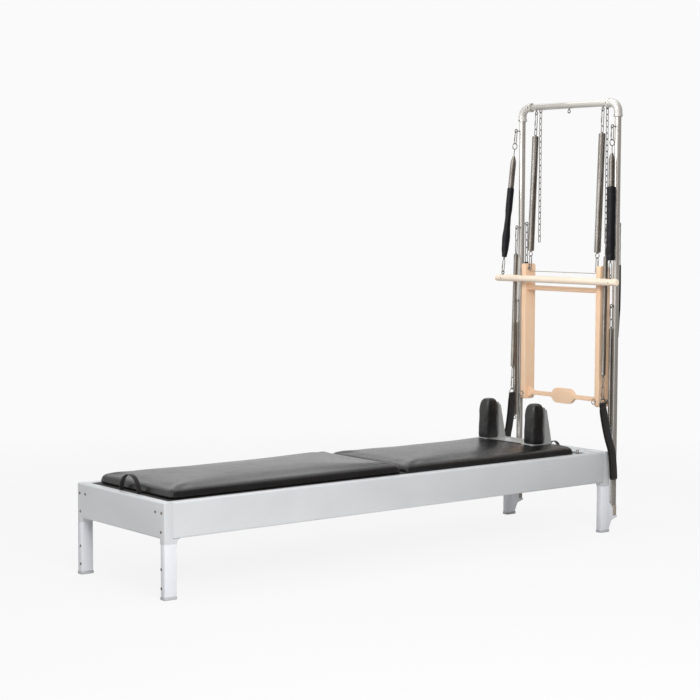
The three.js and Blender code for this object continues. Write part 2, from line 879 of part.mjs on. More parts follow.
function pullLoop(baseZ) {
  const outerHalf = pullLoopSpan / 2;
  const innerHalf = outerHalf - pullLoopThick;
  const band = new THREE.Shape();
  band.moveTo(outerHalf, 0);
  band.absellipse(0, 0, outerHalf, pullLoopRise, 0, halfCircle);
  band.lineTo(-innerHalf, 0);
  band.absellipse(0, 0, innerHalf, pullLoopRise - pullLoopThick, halfCircle, 0, true);
  band.closePath();
  const loop = alongX(band, pullLoopWidth, 2 * arcSteps);
  add("mat_pull_loop", loop.translate(matStartX - seat - pullLoopWidth, 0, baseZ), "webbing");
}

// Carriage

function carriage() {
  const bottom = platformTopZ - platformThick;
  const half = halfWidth - platformInset;
  const middle = (carriageStartX + carriageEndX) / 2;
  const deckShape = roundedRectangle(carriageEndX - carriageStartX, 2 * half, platformRadius);
  const deck = alongZ(deckShape, platformThick);
  const pieces = [deck.translate(middle, 0, bottom)];
  const lug = block(
    carriageStartX,
    carriageStartX + springLugDepth,
    -springLugWidth / 2,
    springLugWidth / 2,
    bottom - springLugHeight,
    bottom + overrun,
  );
  pieces.push(lug);
  const axleZ = beadTopZ + seat + wheelRadius;
  const wheelY = halfWidth - railThick - seat - beadReach;
  const hangerOuter = wheelY - wheelWidth / 2 - 2 * running;
  for (const sign of [-1, 1]) {
    for (const x of [wheelFrontX, wheelRearX]) {
      const inner = hangerOuter - hangerThick;
      const y0 = Math.min(sign * inner, sign * hangerOuter);
      const y1 = Math.max(sign * inner, sign * hangerOuter);
      const x0 = x - hangerLength / 2;
      pieces.push(block(x0, x0 + hangerLength, y0, y1, axleZ - hangerFoot, bottom + overrun));
      const axleStart = new THREE.Vector3(x, sign * inner, axleZ);
      const axleEnd = new THREE.Vector3(x, sign * (wheelY + wheelWidth / 2), axleZ);
      pieces.push(rod(axleRadius, axleStart, axleEnd, wheelSteps));
    }
    const eyeY = sign * (halfWidth - ropeEyeInset);
    const eyeZ = platformTopZ + eyeShank + eyeRadius;
    pieces.push(eye(ropeEyeX, eyeY, eyeZ));
    const shankFoot = new THREE.Vector3(ropeEyeX, eyeY, platformTopZ - overrun);
    const shankTop = new THREE.Vector3(ropeEyeX, eyeY, eyeZ - eyeRadius);
    pieces.push(rod(eyeWire, shankFoot, shankTop));
  }
  add("carriage_platform", join(...pieces), "frame");

  const padBase = platformTopZ + seat;
  const padHalf = halfWidth - matSideInset;
  const [padX0, padX1] = [carriagePadStartX, carriagePadEndX];
  const pad = cushion(padX0, padX1, padHalf, padBase, carriagePadHeight, carriageCrown);
  add("carriage_pad", pad, "vinyl");

  const wheelProfile = wheelOutline();
  for (const [end, x] of [
    ["front", wheelFrontX],
    ["rear", wheelRearX],
  ]) {
    for (const [side, sign] of [
      ["near", -1],
      ["far", 1],
    ]) {
      const wheel = new THREE.LatheGeometry(wheelProfile, wheelSteps);
      add(`${end}_${side}_wheel`, wheel.translate(x, sign * wheelY, axleZ), "wheel");
    }
  }
}

// Half section of a grooved wheel: bore, dished sides, rims and the groove that rides the bead
function wheelOutline() {
  const bore = axleRadius + running;
  const half = wheelWidth / 2;
  const grooveHalf = beadRadius + running;
  return [
    new THREE.Vector2(bore, -half),
    new THREE.Vector2(wheelRimRadius, -half),
    new THREE.Vector2(wheelRimRadius, -grooveHalf),
    new THREE.Vector2(wheelRadius, -grooveHalf / 2),
    new THREE.Vector2(wheelRadius, grooveHalf / 2),
    new THREE.Vector2(wheelRimRadius, grooveHalf),
    new THREE.Vector2(wheelRimRadius, half),
    new THREE.Vector2(wheelRadius, half),
    new THREE.Vector2(wheelRadius - wheelDish, half - wheelDish),
    new THREE.Vector2(wheelHubRadius + wheelDish, half - wheelDish),
    new THREE.Vector2(wheelHubRadius, half),
    new THREE.Vector2(bore, half),
    new THREE.Vector2(bore, -half),
  ];
}

function carriageSprings() {
  const z = springBarTopZ - springBarHeight / 2;
  const startX = springBarX + springBarDepth / 2 + seat;
  const endX = carriageStartX - seat;
  const hook = carriageSpringHookLength;
  const neck = carriageSpringRadius;
  for (const [side, sign] of [
    ["near", -1],
    ["far", 1],
  ]) {
    const profile = [
      new THREE.Vector2(0, startX),
      new THREE.Vector2(carriageSpringHook, startX),
      new THREE.Vector2(carriageSpringHook, startX + hook),
      new THREE.Vector2(carriageSpringRadius, startX + hook + neck),
      new THREE.Vector2(carriageSpringRadius, endX - hook - neck),
      new THREE.Vector2(carriageSpringHook, endX - hook),
      new THREE.Vector2(carriageSpringHook, endX),
      new THREE.Vector2(0, endX),
    ];
    const body = new THREE.LatheGeometry(profile, smallSteps).rotateZ(-quarter);
    add(side + "_carriage_spring", body.translate(0, sign * carriageSpringY, z), "spring");
  }
}

// Shoulder rests

function shoulderRests() {
  const padMiddle = (carriagePadStartX + carriagePadEndX) / 2;
  const padReach = carriagePadEndX - padMiddle - padEdgeRadius;
  const crown = crownLift(carriageCrown, (restPlateStartX - padMiddle) / padReach);
  const plateZ = platformTopZ + 2 * seat + carriagePadHeight + crown;
  const plateTop = plateZ + restPlateThick;
  const length = restPlateEndX - restPlateStartX;
  const plate = alongZ(roundedRectangle(length, 2 * restPlateHalfWidth, restPlateRadius), restPlateThick);
  const pieces = [plate.translate((restPlateStartX + restPlateEndX) / 2, 0, plateZ)];
  const backX = restPadFrontX + restPadDepth + seat;
  for (const [side, sign] of [
    ["near", -1],
    ["far", 1],
  ]) {
    const y = sign * restCentreY;
    const upright = roundedRectangle(restUprightWidth, restUprightHeight + overrun, restPlateRadius);
    const plateCentre = plateTop - overrun / 2 + restUprightHeight / 2;
    pieces.push(alongX(upright, restUprightThick).translate(backX, y, plateCentre));
    const gusset = new THREE.Shape();
    gusset.moveTo(-restUprightThick / 2, -restPlateThick / 2);
    gusset.lineTo(gussetFoot, -restPlateThick / 2);
    gusset.lineTo(gussetTop, restUprightHeight - restPlateRadius);
    gusset.lineTo(-restUprightThick / 2, restUprightHeight - restPlateRadius);
    gusset.closePath();
    for (const edge of [-1, 1]) {
      const edgeY = y + (edge * (restUprightWidth - gussetThick)) / 2;
      pieces.push(alongY(gusset, gussetThick).translate(backX + restUprightThick, edgeY, plateTop));
    }
    const pad = restPad().translate(restPadFrontX, y, plateTop + seat);
    add(side + "_shoulder_pad", pad, "vinyl");
  }
  add("shoulder_rest_bracket", join(...pieces), "bracket");
}

// An upright block pad: rounded top, bulged front and softened edges
function restPad() {
  const halfW = restPadWidth / 2;
  const halfD = restPadDepth / 2;
  const levelShares = [0, 0.06, 0.35, 0.7, 0.86, 0.95, 1];
  const fullShares = [0.93, 1, 1, 1, 0.93, 0.76, 0.45];
  const count = 4;
  const corner = halfD / 2;
  const rings = levelShares.map((share, level) => {
    const full = fullShares[level];
    const z = restPadHeight * share;
    const ring = [];
    const x = halfD - corner;
    const y = halfW * full - corner * full;
    const corners = [
      [x, -y, -quarter],
      [x, y, 0],
      [-x, y, quarter],
      [-x, -y, halfCircle],
    ];
    for (const [cx, cy, start] of corners) {
      for (let k = 0; k <= count; k++) {
        const angle = start + (quarter * k) / count;
        const px = cx * (0.5 + full / 2) + corner * full * Math.cos(angle);
        const front = px < 0 ? -restPadBulge * Math.sin(halfCircle * share) : 0;
        ring.push(new THREE.Vector3(halfD + px + front, cy + corner * full * Math.sin(angle), z));
      }
    }
    return ring;
  });
  return gridSurface(rings, false, true);
}

// Tower tubes

function tubeProfile(outer, inner, from, to) {
  return [
    new THREE.Vector2(inner, from),
    new THREE.Vector2(outer, from),
    new THREE.Vector2(outer, to),
    new THREE.Vector2(inner, to),
    new THREE.Vector2(inner, from),
  ];
}

const postY = halfWidth - postInset;
const tubeEyeReach = tubeRadius + eyeShank + eyeRadius;
const tubeEyeZ = topTubeZ - tubeEyeReach;
const frameSpringTopY = halfWidth - frameSpringTopInset;
const chainX = postX + tubeEyeReach * Math.sin(chainEyeTilt);
const chainEyeZ = topTubeZ - tubeEyeReach * Math.cos(chainEyeTilt);
const postEnd = topTubeZ - elbowBend - seat;
const boardCentreY = halfWidth - boardInset;
const boardCentreX = boardFrontX + boardDepth / 2;

function posts() {
  for (const [side, sign] of [
    ["near", -1],
    ["far", 1],
  ]) {
    const y = sign * postY;
    const tube = new THREE.LatheGeometry(
      tubeProfile(tubeRadius, tubeRadius - tubeWall, postBottomZ, postEnd),
      roundSteps,
    );
    const pieces = [tube.rotateX(quarter).translate(postX, y, 0)];
    const bolts = [
      [lowSpringX, sign * (halfWidth - lowSpringInset), lowSpringEyeZ],
      [legSpringX, sign * (halfWidth - legSpringInset), legSpringEyeZ],
      [barSpringX, sign * (halfWidth - barSpringInset), barSpringEyeZ],
      [postX + tubeRadius + eyeShank + eyeRadius, sign * (halfWidth - strapInset), strapEyeZ],
    ];
    for (const [x, eyeY, z] of bolts) {
      pieces.push(eye(x, eyeY, z));
      const ringEdge = new THREE.Vector3(x, eyeY, z);
      const inWall = new THREE.Vector3(postX, y, z);
      const outward = new THREE.Vector3().subVectors(ringEdge, inWall).normalize();
      ringEdge.addScaledVector(outward, -eyeRadius);
      inWall.addScaledVector(outward, tubeRadius - tubeWall / 2);
      pieces.push(rod(eyeWire, inWall, ringEdge));
    }
    pieces.push(...pivotPin(sign, y));
    add(side + "_post", join(...pieces), "steel");
  }
}

// The pin that carries a board's foot, with a knob between the post and the board
function pivotPin(sign, y) {
  const at = (inset) => new THREE.Vector3(postX, sign * (halfWidth - inset), pivotZ);
  const boardOuter = boardInset - boardThick / 2;
  const boardInner = boardInset + boardThick / 2;
  const wallInset = postInset + tubeRadius - tubeWall / 2;
  return [
    rod(pinRadius, at(wallInset), at(boardInner - seat)),
    rod(knobRadius, at(boardOuter - seat - knobLength), at(boardOuter - seat), roundSteps),
  ];
}

function topTube() {
  const half = postY - elbowBend - seat;
  const profile = tubeProfile(tubeRadius, tubeRadius - tubeWall, -half, half);
  const tube = new THREE.LatheGeometry(profile, roundSteps);
  const pieces = [tube.translate(postX, 0, topTubeZ)];
  const eyes = [
    [0, 0],
    ...[-1, 1].map((sign) => [0, sign * frameSpringTopY]),
    ...[-1, 1].map((sign) => [chainEyeTilt, sign * frameSpringTopY - chainSideStep]),
  ];
  for (const [tilt, y] of eyes) {
    const outward = new THREE.Vector3(Math.sin(tilt), 0, -Math.cos(tilt));
    const centre = new THREE.Vector3(postX, y, topTubeZ);
    const eyeCentre = centre.clone().addScaledVector(outward, tubeEyeReach);
    const shankFoot = centre.clone().addScaledVector(outward, tubeRadius - tubeWall / 2);
    const shankEnd = centre.clone().addScaledVector(outward, tubeRadius + eyeShank + eyeWire / 2);
    pieces.push(eye(eyeCentre.x, y, eyeCentre.z));
    pieces.push(rod(eyeWire, shankFoot, shankEnd));
  }
  add("top_tube", join(...pieces), "steel");
}

// Elbow fitting: a bent body with a socket and a collar at each end
function elbows() {
  const start = new THREE.Vector3(0, 0, elbowDropEndZ);
  const bendPoints = [];
  for (let i = 0; i <= bendSteps; i++) {
    const angle = (quarter * i) / bendSteps;
    const across = elbowBend * (1 - Math.cos(angle));
    const up = elbowBend * Math.sin(angle);
    bendPoints.push(new THREE.Vector3(0, across, topTubeZ - elbowBend + up));
  }
  const armLength = elbowArmInset - postInset;
  const end = new THREE.Vector3(0, armLength, topTubeZ);
  const body = wireAlong([start, ...bendPoints, end], elbowRadius, roundSteps);
  const bore = (tubeRadius + seat) / Math.cos(halfCircle / roundSteps);
  const dropCollarTop = new THREE.Vector3(0, 0, elbowDropEndZ + collarLength);
  const armCollarStart = new THREE.Vector3(0, armLength - collarLength, topTubeZ);
  const dropBoreEnd = new THREE.Vector3(0, 0, elbowDropEndZ - overrun);
  const armBoreEnd = new THREE.Vector3(0, armLength + overrun, topTubeZ);
  const outer = join(
    body,
    rod(collarRadius, start, dropCollarTop, roundSteps),
    rod(collarRadius, end, armCollarStart, roundSteps),
  );
  const near = cut(
    outer,
    rod(bore, dropBoreEnd, bendPoints[0], roundSteps),
    rod(bore, bendPoints[bendSteps], armBoreEnd, roundSteps),
  );
  add("near_elbow", near.clone().translate(postX, -postY, 0), "fitting");
  add("far_elbow", near.clone().rotateZ(halfCircle).translate(postX, postY, 0), "fitting");
}

function postCapsAndMounts() {
  const bore = (tubeRadius + seat) / Math.cos(halfCircle / roundSteps);
  const bottom = postBottomZ - capFloor - seat;
  for (const [side, sign] of [
    ["near", -1],
    ["far", 1],
  ]) {
    const y = sign * postY;
    const profile = [
      new THREE.Vector2(0, bottom),
      new THREE.Vector2(capRadius - railInnerRadius, bottom),
      new THREE.Vector2(capRadius, bottom + railInnerRadius),
      new THREE.Vector2(capRadius, bottom + capHeight),
      new THREE.Vector2(bore, bottom + capHeight),
      new THREE.Vector2(bore, bottom + capFloor),
      new THREE.Vector2(0, bottom + capFloor),
    ];
    const cap = new THREE.LatheGeometry(profile, roundSteps).rotateX(quarter);
    add(side + "_post_cap", cap.translate(postX, y, 0), "cap");

    const blockStart = frameLength + seat;
    const blockEnd = postX - mountWrap;
    const low = mountTopZ - mountHeight;
    const body = block(blockStart, blockEnd, y - mountWidth / 2, y + mountWidth / 2, low, mountTopZ);
    const channel = rod(
      bore,
      new THREE.Vector3(postX, y, low - overrun),
      new THREE.Vector3(postX, y, mountTopZ + overrun),
      roundSteps,
    );
    add(side + "_post_mount", cut(body, channel), "fitting");
  }
}

// Springs, chains and straps

const linkDrop = eyeWire + hookWire + seat; // a hook's top wire above the lowest wire of its eye

function frameSprings() {
  for (const [side, sign] of [
    ["near", -1],
    ["far", 1],
  ]) {
    const top = new THREE.Vector3(postX, sign * frameSpringTopY, tubeEyeZ - eyeRadius);
    const bottom = new THREE.Vector3(boardEyeX, sign * boardEyeY, boardEyeZ + eyeRadius);
    const length = top.distanceTo(bottom);
    const name = side + "_frame_spring";
    const linkTop = linkDrop - frameSpringHook + 2 * hookWire - bite;
    const coilTop = linkTop - frameSpringLink - hookWire + bite;
    const lowHookTop = hookLength - length - linkDrop;
    const ringTop = lowHookTop + 2 * endRingRadius - hookWire - endRingWire + bite;
    const coilEnd = ringTop + endRingWire - bite;
    const pieces = [
      hookRing(linkDrop, hookHalfWidth, frameSpringHook, hookWire),
      crossRing(linkTop, hookHalfWidth, frameSpringLink, hookWire),
      springWire(name, coilTop, coilEnd, frameSpringRadius, frameSpringWire, frameSpringCurls),
      hookRing(ringTop, endRingRadius, 2 * endRingRadius, endRingWire),
      crossRing(lowHookTop, hookHalfWidth, hookLength, hookWire),
    ];
    add(name, hangBetween(join(...pieces), top, bottom), "spring");
  }
}

function chains() {
  const pitch = chainLength / chainLinks;
  const linkLength = pitch + 2 * chainWire - bite;
  for (const [side, sign] of [
    ["near", -1],
    ["far", 1],
  ]) {
    const y = sign * frameSpringTopY - chainSideStep;
    const links = [];
    for (let i = 0; i < chainLinks; i++) {
      const turned = i % 2 ? crossRing : hookRing;
      links.push(turned(linkDrop - pitch * i, chainLinkHalfWidth, linkLength, chainWire, chainSides));
    }
    const chain = join(...links);
    add(side + "_chain", chain.translate(chainX, y, chainEyeZ - eyeRadius), "chrome");
  }
}

const barEyeZ = barZ + barRadius + eyeShank / 2 + eyeRadius;

function rollDownBar() {
  const half = barLength / 2;
  const flat = barRadius - barEndRadius;
  const profile = [new THREE.Vector2(0, -half), new THREE.Vector2(flat, -half)];
  for (let i = 1; i <= arcSteps; i++) {
    const angle = (quarter * i) / arcSteps;
    profile.push(
      new THREE.Vector2(flat + barEndRadius * Math.sin(angle), barEndRadius * (1 - Math.cos(angle)) - half),
    );
  }
  const mirrored = profile.slice().reverse();
  profile.push(...mirrored.map((p) => new THREE.Vector2(p.x, -p.y)));
  const pieces = [new THREE.LatheGeometry(profile, roundSteps).translate(barX, 0, barZ)];
  for (const sign of [-1, 1]) {
    const y = sign * (halfWidth + barEyeOutset);
    pieces.push(eye(barX, y, barEyeZ));
    const foot = new THREE.Vector3(barX, y, barZ + barRadius / 2);
    pieces.push(rod(eyeWire, foot, new THREE.Vector3(barX, y, barEyeZ - eyeRadius)));
  }
  add("roll_down_bar", join(...pieces), "maple");
}

function barSprings() {
  for (const [side, sign] of [
    ["near", -1],
    ["far", 1],
  ]) {
    const topY = sign * (halfWidth - barSpringInset);
    const top = new THREE.Vector3(barSpringX, topY, barSpringEyeZ - eyeRadius);
    const bottom = new THREE.Vector3(barX, sign * (halfWidth + barEyeOutset), barEyeZ + eyeRadius);
    const length = top.distanceTo(bottom);
    const name = side + "_bar_spring";
    const ringTop = linkDrop - hookLength + hookWire + endRingWire - bite;
    const ringEnd = ringTop - 2 * barRingRadius;
    const lowHookTop = hookLength - length - linkDrop;
    const sleeveEnd = lowHookTop + endRingRadius;
    const sleeveTop = sleeveEnd + barSleeveLength;
    const coilEnd = sleeveTop - barCoilInSleeve;
    const coilTop = ringEnd - barStemLength;
    const stemTop = new THREE.Vector3(0, 0, ringEnd - endRingWire + bite);
    const stemEnd = new THREE.Vector3(0, 0, coilTop - bite);
    const coreTop = new THREE.Vector3(0, 0, coilEnd + bite);
    const coreEnd = new THREE.Vector3(0, 0, lowHookTop + hookWire - bite);
    const pieces = [
      hookRing(linkDrop, hookHalfWidth, hookLength, hookWire),
      crossRing(ringTop, barRingRadius, 2 * barRingRadius, endRingWire),
      rod(barSpringWire, stemTop, stemEnd),
      springWire(name, coilTop, coilEnd, barSpringRadius, barSpringWire, barSpringCurls),
      rod(barSpringCore, coreTop, coreEnd),
      hookRing(lowHookTop, hookHalfWidth, hookLength, hookWire),
    ];
    add(name, hangBetween(join(...pieces), top, bottom), "spring");
    const bore = (barSpringRadius + seat) / Math.cos(halfCircle / roundSteps);
    const profile = tubeProfile(barSleeveRadius, bore, sleeveEnd, sleeveTop);
    const sleeve = new THREE.LatheGeometry(profile, roundSteps).rotateX(quarter);
    add(side + "_bar_sleeve", hangBetween(sleeve, top, bottom), "sleeve");
  }
}

function lowSprings() {
  for (const [side, sign] of [
    ["near", -1],
    ["far", 1],
  ]) {
    const y = sign * (halfWidth - lowSpringInset);
    const top = new THREE.Vector3(lowSpringX, y, lowSpringEyeZ - eyeRadius);
    const bottom = new THREE.Vector3(lowSpringX, y, lowSpringEndZ);
    const length = top.distanceTo(bottom);
    const name = side + "_low_spring";
    const secondTop = linkDrop - hookLength + 2 * hookWire - bite;
    const coilTop = secondTop - lowSpringLink - hookWire + bite;
    const ringTop = 2 * eyeRadius - length;
    const coilEnd = ringTop + lowSpringWire - bite;
    const pieces = [
      hookRing(linkDrop, hookHalfWidth, hookLength, hookWire),
      crossRing(secondTop, hookHalfWidth, lowSpringLink, hookWire),
      springWire(name, coilTop, coilEnd, lowSpringRadius, lowSpringWire, lowSpringCurls),
      hookRing(ringTop, eyeRadius, 2 * eyeRadius, lowSpringWire),
    ];
    add(name, hangBetween(join(...pieces), top, bottom), "spring");
  }
}

const ringTopZ = loopTopZ + ringHeight;

function legSprings() {
  for (const [side, sign] of [
    ["near", -1],
    ["far", 1],
  ]) {
    const topY = sign * (halfWidth - legSpringInset);
    const top = new THREE.Vector3(legSpringX, topY, legSpringEyeZ - eyeRadius);
    const bottom = new THREE.Vector3(legSpringEndX, sign * (halfWidth - legSpringEndInset), ringTopZ);
    const length = top.distanceTo(bottom);
    const name = side + "_leg_spring";
    const lowDrop = ringWire + hookWire + seat;
    const linkTop = linkDrop - hookLength + 2 * hookWire - bite;
    const coilTop = linkTop - legSpringTopLink - hookWire + bite;
    const lowHookTop = hookLength - length - lowDrop;
    const endLinkTop = lowHookTop + legSpringEndLink - 2 * hookWire + bite;
    const coilEnd = endLinkTop + hookWire - bite;
    const pieces = [
      hookRing(linkDrop, hookHalfWidth, hookLength, hookWire),
      crossRing(linkTop, legSpringLinkHalfWidth, legSpringTopLink, hookWire),
      springWire(name, coilTop, coilEnd, legSpringRadius, legSpringWire, legSpringCurls),
      crossRing(endLinkTop, legSpringLinkHalfWidth, legSpringEndLink, hookWire),
      hookRing(lowHookTop, hookHalfWidth, hookLength, hookWire),
    ];
    add(name, hangBetween(join(...pieces), top, bottom), "spring");
  }
}

// Two layers of strap from a ring down to a round end, swept outward over the rail
function loopStrap(endInset) {
  const drop = loopTopZ - loopEndZ;
  const sway = legSpringEndInset - endInset;
  const knots = loopDropShares.map((share, i) => {
    const inset = legSpringEndInset - sway * loopSwayShares[i];
    return new THREE.Vector3(inset, loopTopZ - drop * share, 0);
  });
  const middleLine = new THREE.CatmullRomCurve3(knots);
  const count = 10;
  const side = (offset, from, to) => {
    const row = [];
    for (let i = 0; i <= count; i++) {
      const share = from + ((to - from) * i) / count;
      const point = middleLine.getPoint(share);
      const tangent = middleLine.getTangent(share);
      row.push(new THREE.Vector2(point.x - tangent.y * offset, point.y + tangent.x * offset));
    }
    return row;
  };
  const outerHalf = loopLayer + loopSlit / 2;
  const innerHalf = loopSlit / 2;
  const endShare = 1 - outerHalf / drop;
  const slitShare = 1 - (outerHalf + innerHalf / 2) / drop;
  const roundEnd = (half, share) => {
    const centre = middleLine.getPoint(share);
    const points = [];
    for (let i = 1; i < 2 * arcSteps; i++) {
      const angle = (halfCircle * i) / (2 * arcSteps);
      points.push(new THREE.Vector2(centre.x - half * Math.cos(angle), centre.y - half * Math.sin(angle)));
    }
    return points;
  };
  const outline = [
    ...side(-outerHalf, 0, endShare),
    ...roundEnd(outerHalf, endShare),
    ...side(outerHalf, 0, endShare).reverse(),
  ];
  const slitStart = loopSeam / drop;
  const slit = [
    ...side(innerHalf, slitStart, slitShare),
    ...side(-innerHalf, slitStart, slitShare).reverse(),
  ];
  const shape = new THREE.Shape(outline);
  shape.holes.push(new THREE.Path(slit));
  const strap = alongX(shape, loopWidth).translate(legSpringEndX - loopWidth / 2, 0, -loopTopZ);
  const lean = new THREE.Matrix4().makeShear(0, 0, 0, 0, -loopLean, 0);
  return strap.applyMatrix4(lean).translate(0, -halfWidth, loopTopZ);
}

function paddedLoops() {
  const ringPoints = [
    [-ringBarHalfWidth, 0],
    [ringBarHalfWidth, 0],
    [ringBarHalfWidth, ringHeight / 2],
    [ringBarHalfWidth / 2, ringHeight],
    [-ringBarHalfWidth / 2, ringHeight],
    [-ringBarHalfWidth, ringHeight / 2],
  ].map(([x, z]) => new THREE.Vector3(x, 0, z));
  for (const [side, sign, strap] of [
    ["near", -1, loopStrap(nearLoopEndInset)],
    ["far", 1, flipped(loopStrap(farLoopEndInset).scale(1, -1, 1))],
  ]) {
    const ring = wireRing(ringPoints, backAxis, ringWire);
    ring.translate(legSpringEndX, sign * (halfWidth - legSpringEndInset), loopTopZ);
    add(side + "_padded_loop", join(strap, ring), "webbing");
  }
}

// A mirrored geometry with its faces turned back outward
function flipped(geometry) {
  const loose = geometry.index ? geometry.toNonIndexed() : geometry;
  const p = loose.getAttribute("position");
  for (let i = 0; i < p.count; i += 3) {
    const a = new THREE.Vector3().fromBufferAttribute(p, i);
    const b = new THREE.Vector3().fromBufferAttribute(p, i + 1);
    p.setXYZ(i, b.x, b.y, b.z);
    p.setXYZ(i + 1, a.x, a.y, a.z);
  }
  return loose;
}

function safetyStraps() {
  const x = postX + tubeRadius + eyeShank + eyeRadius;
  const strapLinkStep = strapLinkLength - 2 * hookWire + bite;
  for (const [side, sign] of [
    ["near", -1],
    ["far", 1],
  ]) {
    const y = sign * (halfWidth - strapInset);
    const pieces = [];
    for (let i = 0; i < strapLinks; i++) {
      const topZ = linkDrop - strapLinkStep * i;
      const turned = i % 2 ? crossRing : hookRing;
      pieces.push(turned(topZ, hookHalfWidth, strapLinkLength, hookWire, chainSides));
    }
    const strapTop = linkDrop - strapLinkStep * strapLinks + hookWire;
    const half = strapWidth / 2;
    const band = new THREE.Shape();
    band.moveTo(-half, 0);
    band.lineTo(-half, -strapLength * (1 - strapTaperShare));
    band.lineTo(-half * strapTipShare, -strapLength);
    band.lineTo(half * strapTipShare, -strapLength);
    band.lineTo(half, -strapLength * (1 - strapTaperShare));
    band.lineTo(half, 0);
    band.closePath();
    pieces.push(alongX(band, strapThick).translate(-strapThick / 2, 0, strapTop));
    add(side + "_safety_strap", join(...pieces).translate(x, y, strapEyeZ - eyeRadius), "webbing");
  }
}

// Push-through frame

const boardEyeX = boardFrontX + boardEyeSetback;
const boardEyeY = boardCentreY - boardThick / 2 - eyeShank - eyeRadius;
const boardEyeZ = boardTopZ - boardEyeDrop;

function boards() {
  const height = boardTopZ - boardBottomZ;
  const outline = roundedRectangle(boardDepth, height, boardCornerRadius);
  const bore = (pinRadius + running) / Math.cos(halfCircle / roundSteps);
  for (const [side, sign] of [
    ["near", -1],
    ["far", 1],
  ]) {
    const y = sign * boardCentreY;
    const plank = alongY(outline, boardThick).translate(boardCentreX, y, boardBottomZ + height / 2);
    const hole = rod(
      bore,
      new THREE.Vector3(postX, y - boardThick / 2 - overrun, pivotZ),
      new THREE.Vector3(postX, y + boardThick / 2 + overrun, pivotZ),
      roundSteps,
    );
    const innerY = sign * (boardCentreY - boardThick / 2);
    const topEye = hookRing(eyeRadius, eyeRadius, 2 * eyeRadius, eyeWire);
    topEye.translate(boardEyeX, sign * boardEyeY, boardEyeZ);
    const topShank = rod(
      eyeWire,
      new THREE.Vector3(boardEyeX, innerY + sign * overrun, boardEyeZ),
      new THREE.Vector3(boardEyeX, sign * (boardEyeY + eyeRadius), boardEyeZ),
    );
    const ringX = boardFrontX - endRingRadius;
    const ringY = y - (sign * boardThick) / 4;
    const ring = eye(ringX, ringY, pivotZ, endRingRadius, endRingWire);
    const ringShank = rod(
      endRingWire,
      new THREE.Vector3(boardFrontX - endRingWire, ringY, pivotZ),
      new THREE.Vector3(boardFrontX + overrun, ringY, pivotZ),
    );
    add(side + "_board", join(cut(plank, hole), topEye, topShank, ring, ringShank), "maple");
  }
}

function frameRails() {
  const half = boardCentreY - boardThick / 2 - seat;
  const upper = alongY(roundedRectangle(upperRailDepth, upperRailHeight, upperRailRadius), 2 * half);
  add("upper_rail", upper.translate(boardCentreX, 0, upperRailZ), "maple");

  const neck = lowerRailNeck / 2;
  const end = lowerRailEnd / 2;
  const paddle = paddleHeight / 2;
  const edge = (sign) => {
    const outline = [];
    const curve = new THREE.Path();
    curve.moveTo(-half, sign * end);
    curve.quadraticCurveTo(-half + flareReach / 4, sign * neck, -half + flareReach, sign * neck);
    curve.lineTo(-paddleHalfWidth - neck, sign * neck);
    const riseX = -paddleHalfWidth;
    curve.quadraticCurveTo(riseX, sign * neck, riseX + neck / 2, sign * (paddle - neck));
    curve.quadraticCurveTo(riseX + neck, sign * paddle, riseX + 2 * neck, sign * paddle);
    outline.push(...curve.getPoints(arcSteps));
    const mirrored = outline.map((p) => new THREE.Vector2(-p.x, p.y)).reverse();
    return [...outline, ...mirrored];
  };
  const shape = new THREE.Shape([...edge(-1), ...edge(1).reverse()]);
  const lower = alongX(shape, lowerRailThick);
  add("lower_rail", lower.translate(boardCentreX - lowerRailThick / 2, 0, lowerRailZ), "maple");
}

sideRails();
endRails();
legs();
tracks();
springBar();
mat();
carriage();
carriageSprings();
shoulderRests();
posts();
topTube();
elbows();
postCapsAndMounts();
frameSprings();
chains();
rollDownBar();
barSprings();
lowSprings();
legSprings();
paddedLoops();
safetyStraps();
boards();
frameRails();

// The origin is on the floor, under the middle of the whole unit
const reach = new THREE.Box3().setFromObject(unit);
unit.position.x = -(reach.min.x + reach.max.x) / 2;

export default unit;
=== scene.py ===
import math
import random

import bpy
from mathutils import Matrix, Quaternion, Vector


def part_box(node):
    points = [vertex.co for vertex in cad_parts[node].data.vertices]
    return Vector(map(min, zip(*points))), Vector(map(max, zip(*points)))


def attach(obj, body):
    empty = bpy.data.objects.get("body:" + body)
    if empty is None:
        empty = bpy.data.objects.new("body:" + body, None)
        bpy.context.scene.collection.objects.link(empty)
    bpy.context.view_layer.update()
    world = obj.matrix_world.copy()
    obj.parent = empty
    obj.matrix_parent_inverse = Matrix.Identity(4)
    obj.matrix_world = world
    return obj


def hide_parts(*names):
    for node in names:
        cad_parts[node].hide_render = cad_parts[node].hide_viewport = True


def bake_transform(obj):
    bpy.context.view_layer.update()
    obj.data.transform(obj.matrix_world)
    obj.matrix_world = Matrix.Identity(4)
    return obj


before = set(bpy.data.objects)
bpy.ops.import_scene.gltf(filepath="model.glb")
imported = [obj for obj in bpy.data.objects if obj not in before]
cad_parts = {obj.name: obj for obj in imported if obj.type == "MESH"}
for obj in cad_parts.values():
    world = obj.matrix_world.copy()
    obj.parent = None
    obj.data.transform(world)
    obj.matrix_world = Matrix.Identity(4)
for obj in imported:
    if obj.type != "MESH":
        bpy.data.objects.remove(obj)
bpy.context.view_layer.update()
scene = bpy.context.scene
print("frame loaded,", len(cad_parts), "solids")

# the camera stands where the photograph was taken from
cameraView = {
    "place": (-4.968155, -6.1467, 1.5137),
    "yaw": 51.6255,  # degrees from X
    "pitch": -4.4132,
    "roll": 0.1722,
    "lens": 91.36,
}
sideNames = (("near", -1), ("far", 1))
frameHalf = 339  # from the middle to a side rail's outer face
frameLong = 2500
drawingShift = 1.287155  # the drawing starts at the foot end, the unit is centred


def at(x, y, z):  # a point of the drawing, in millimetres
    return Vector((x / 1000 - drawingShift, y / 1000, z / 1000))


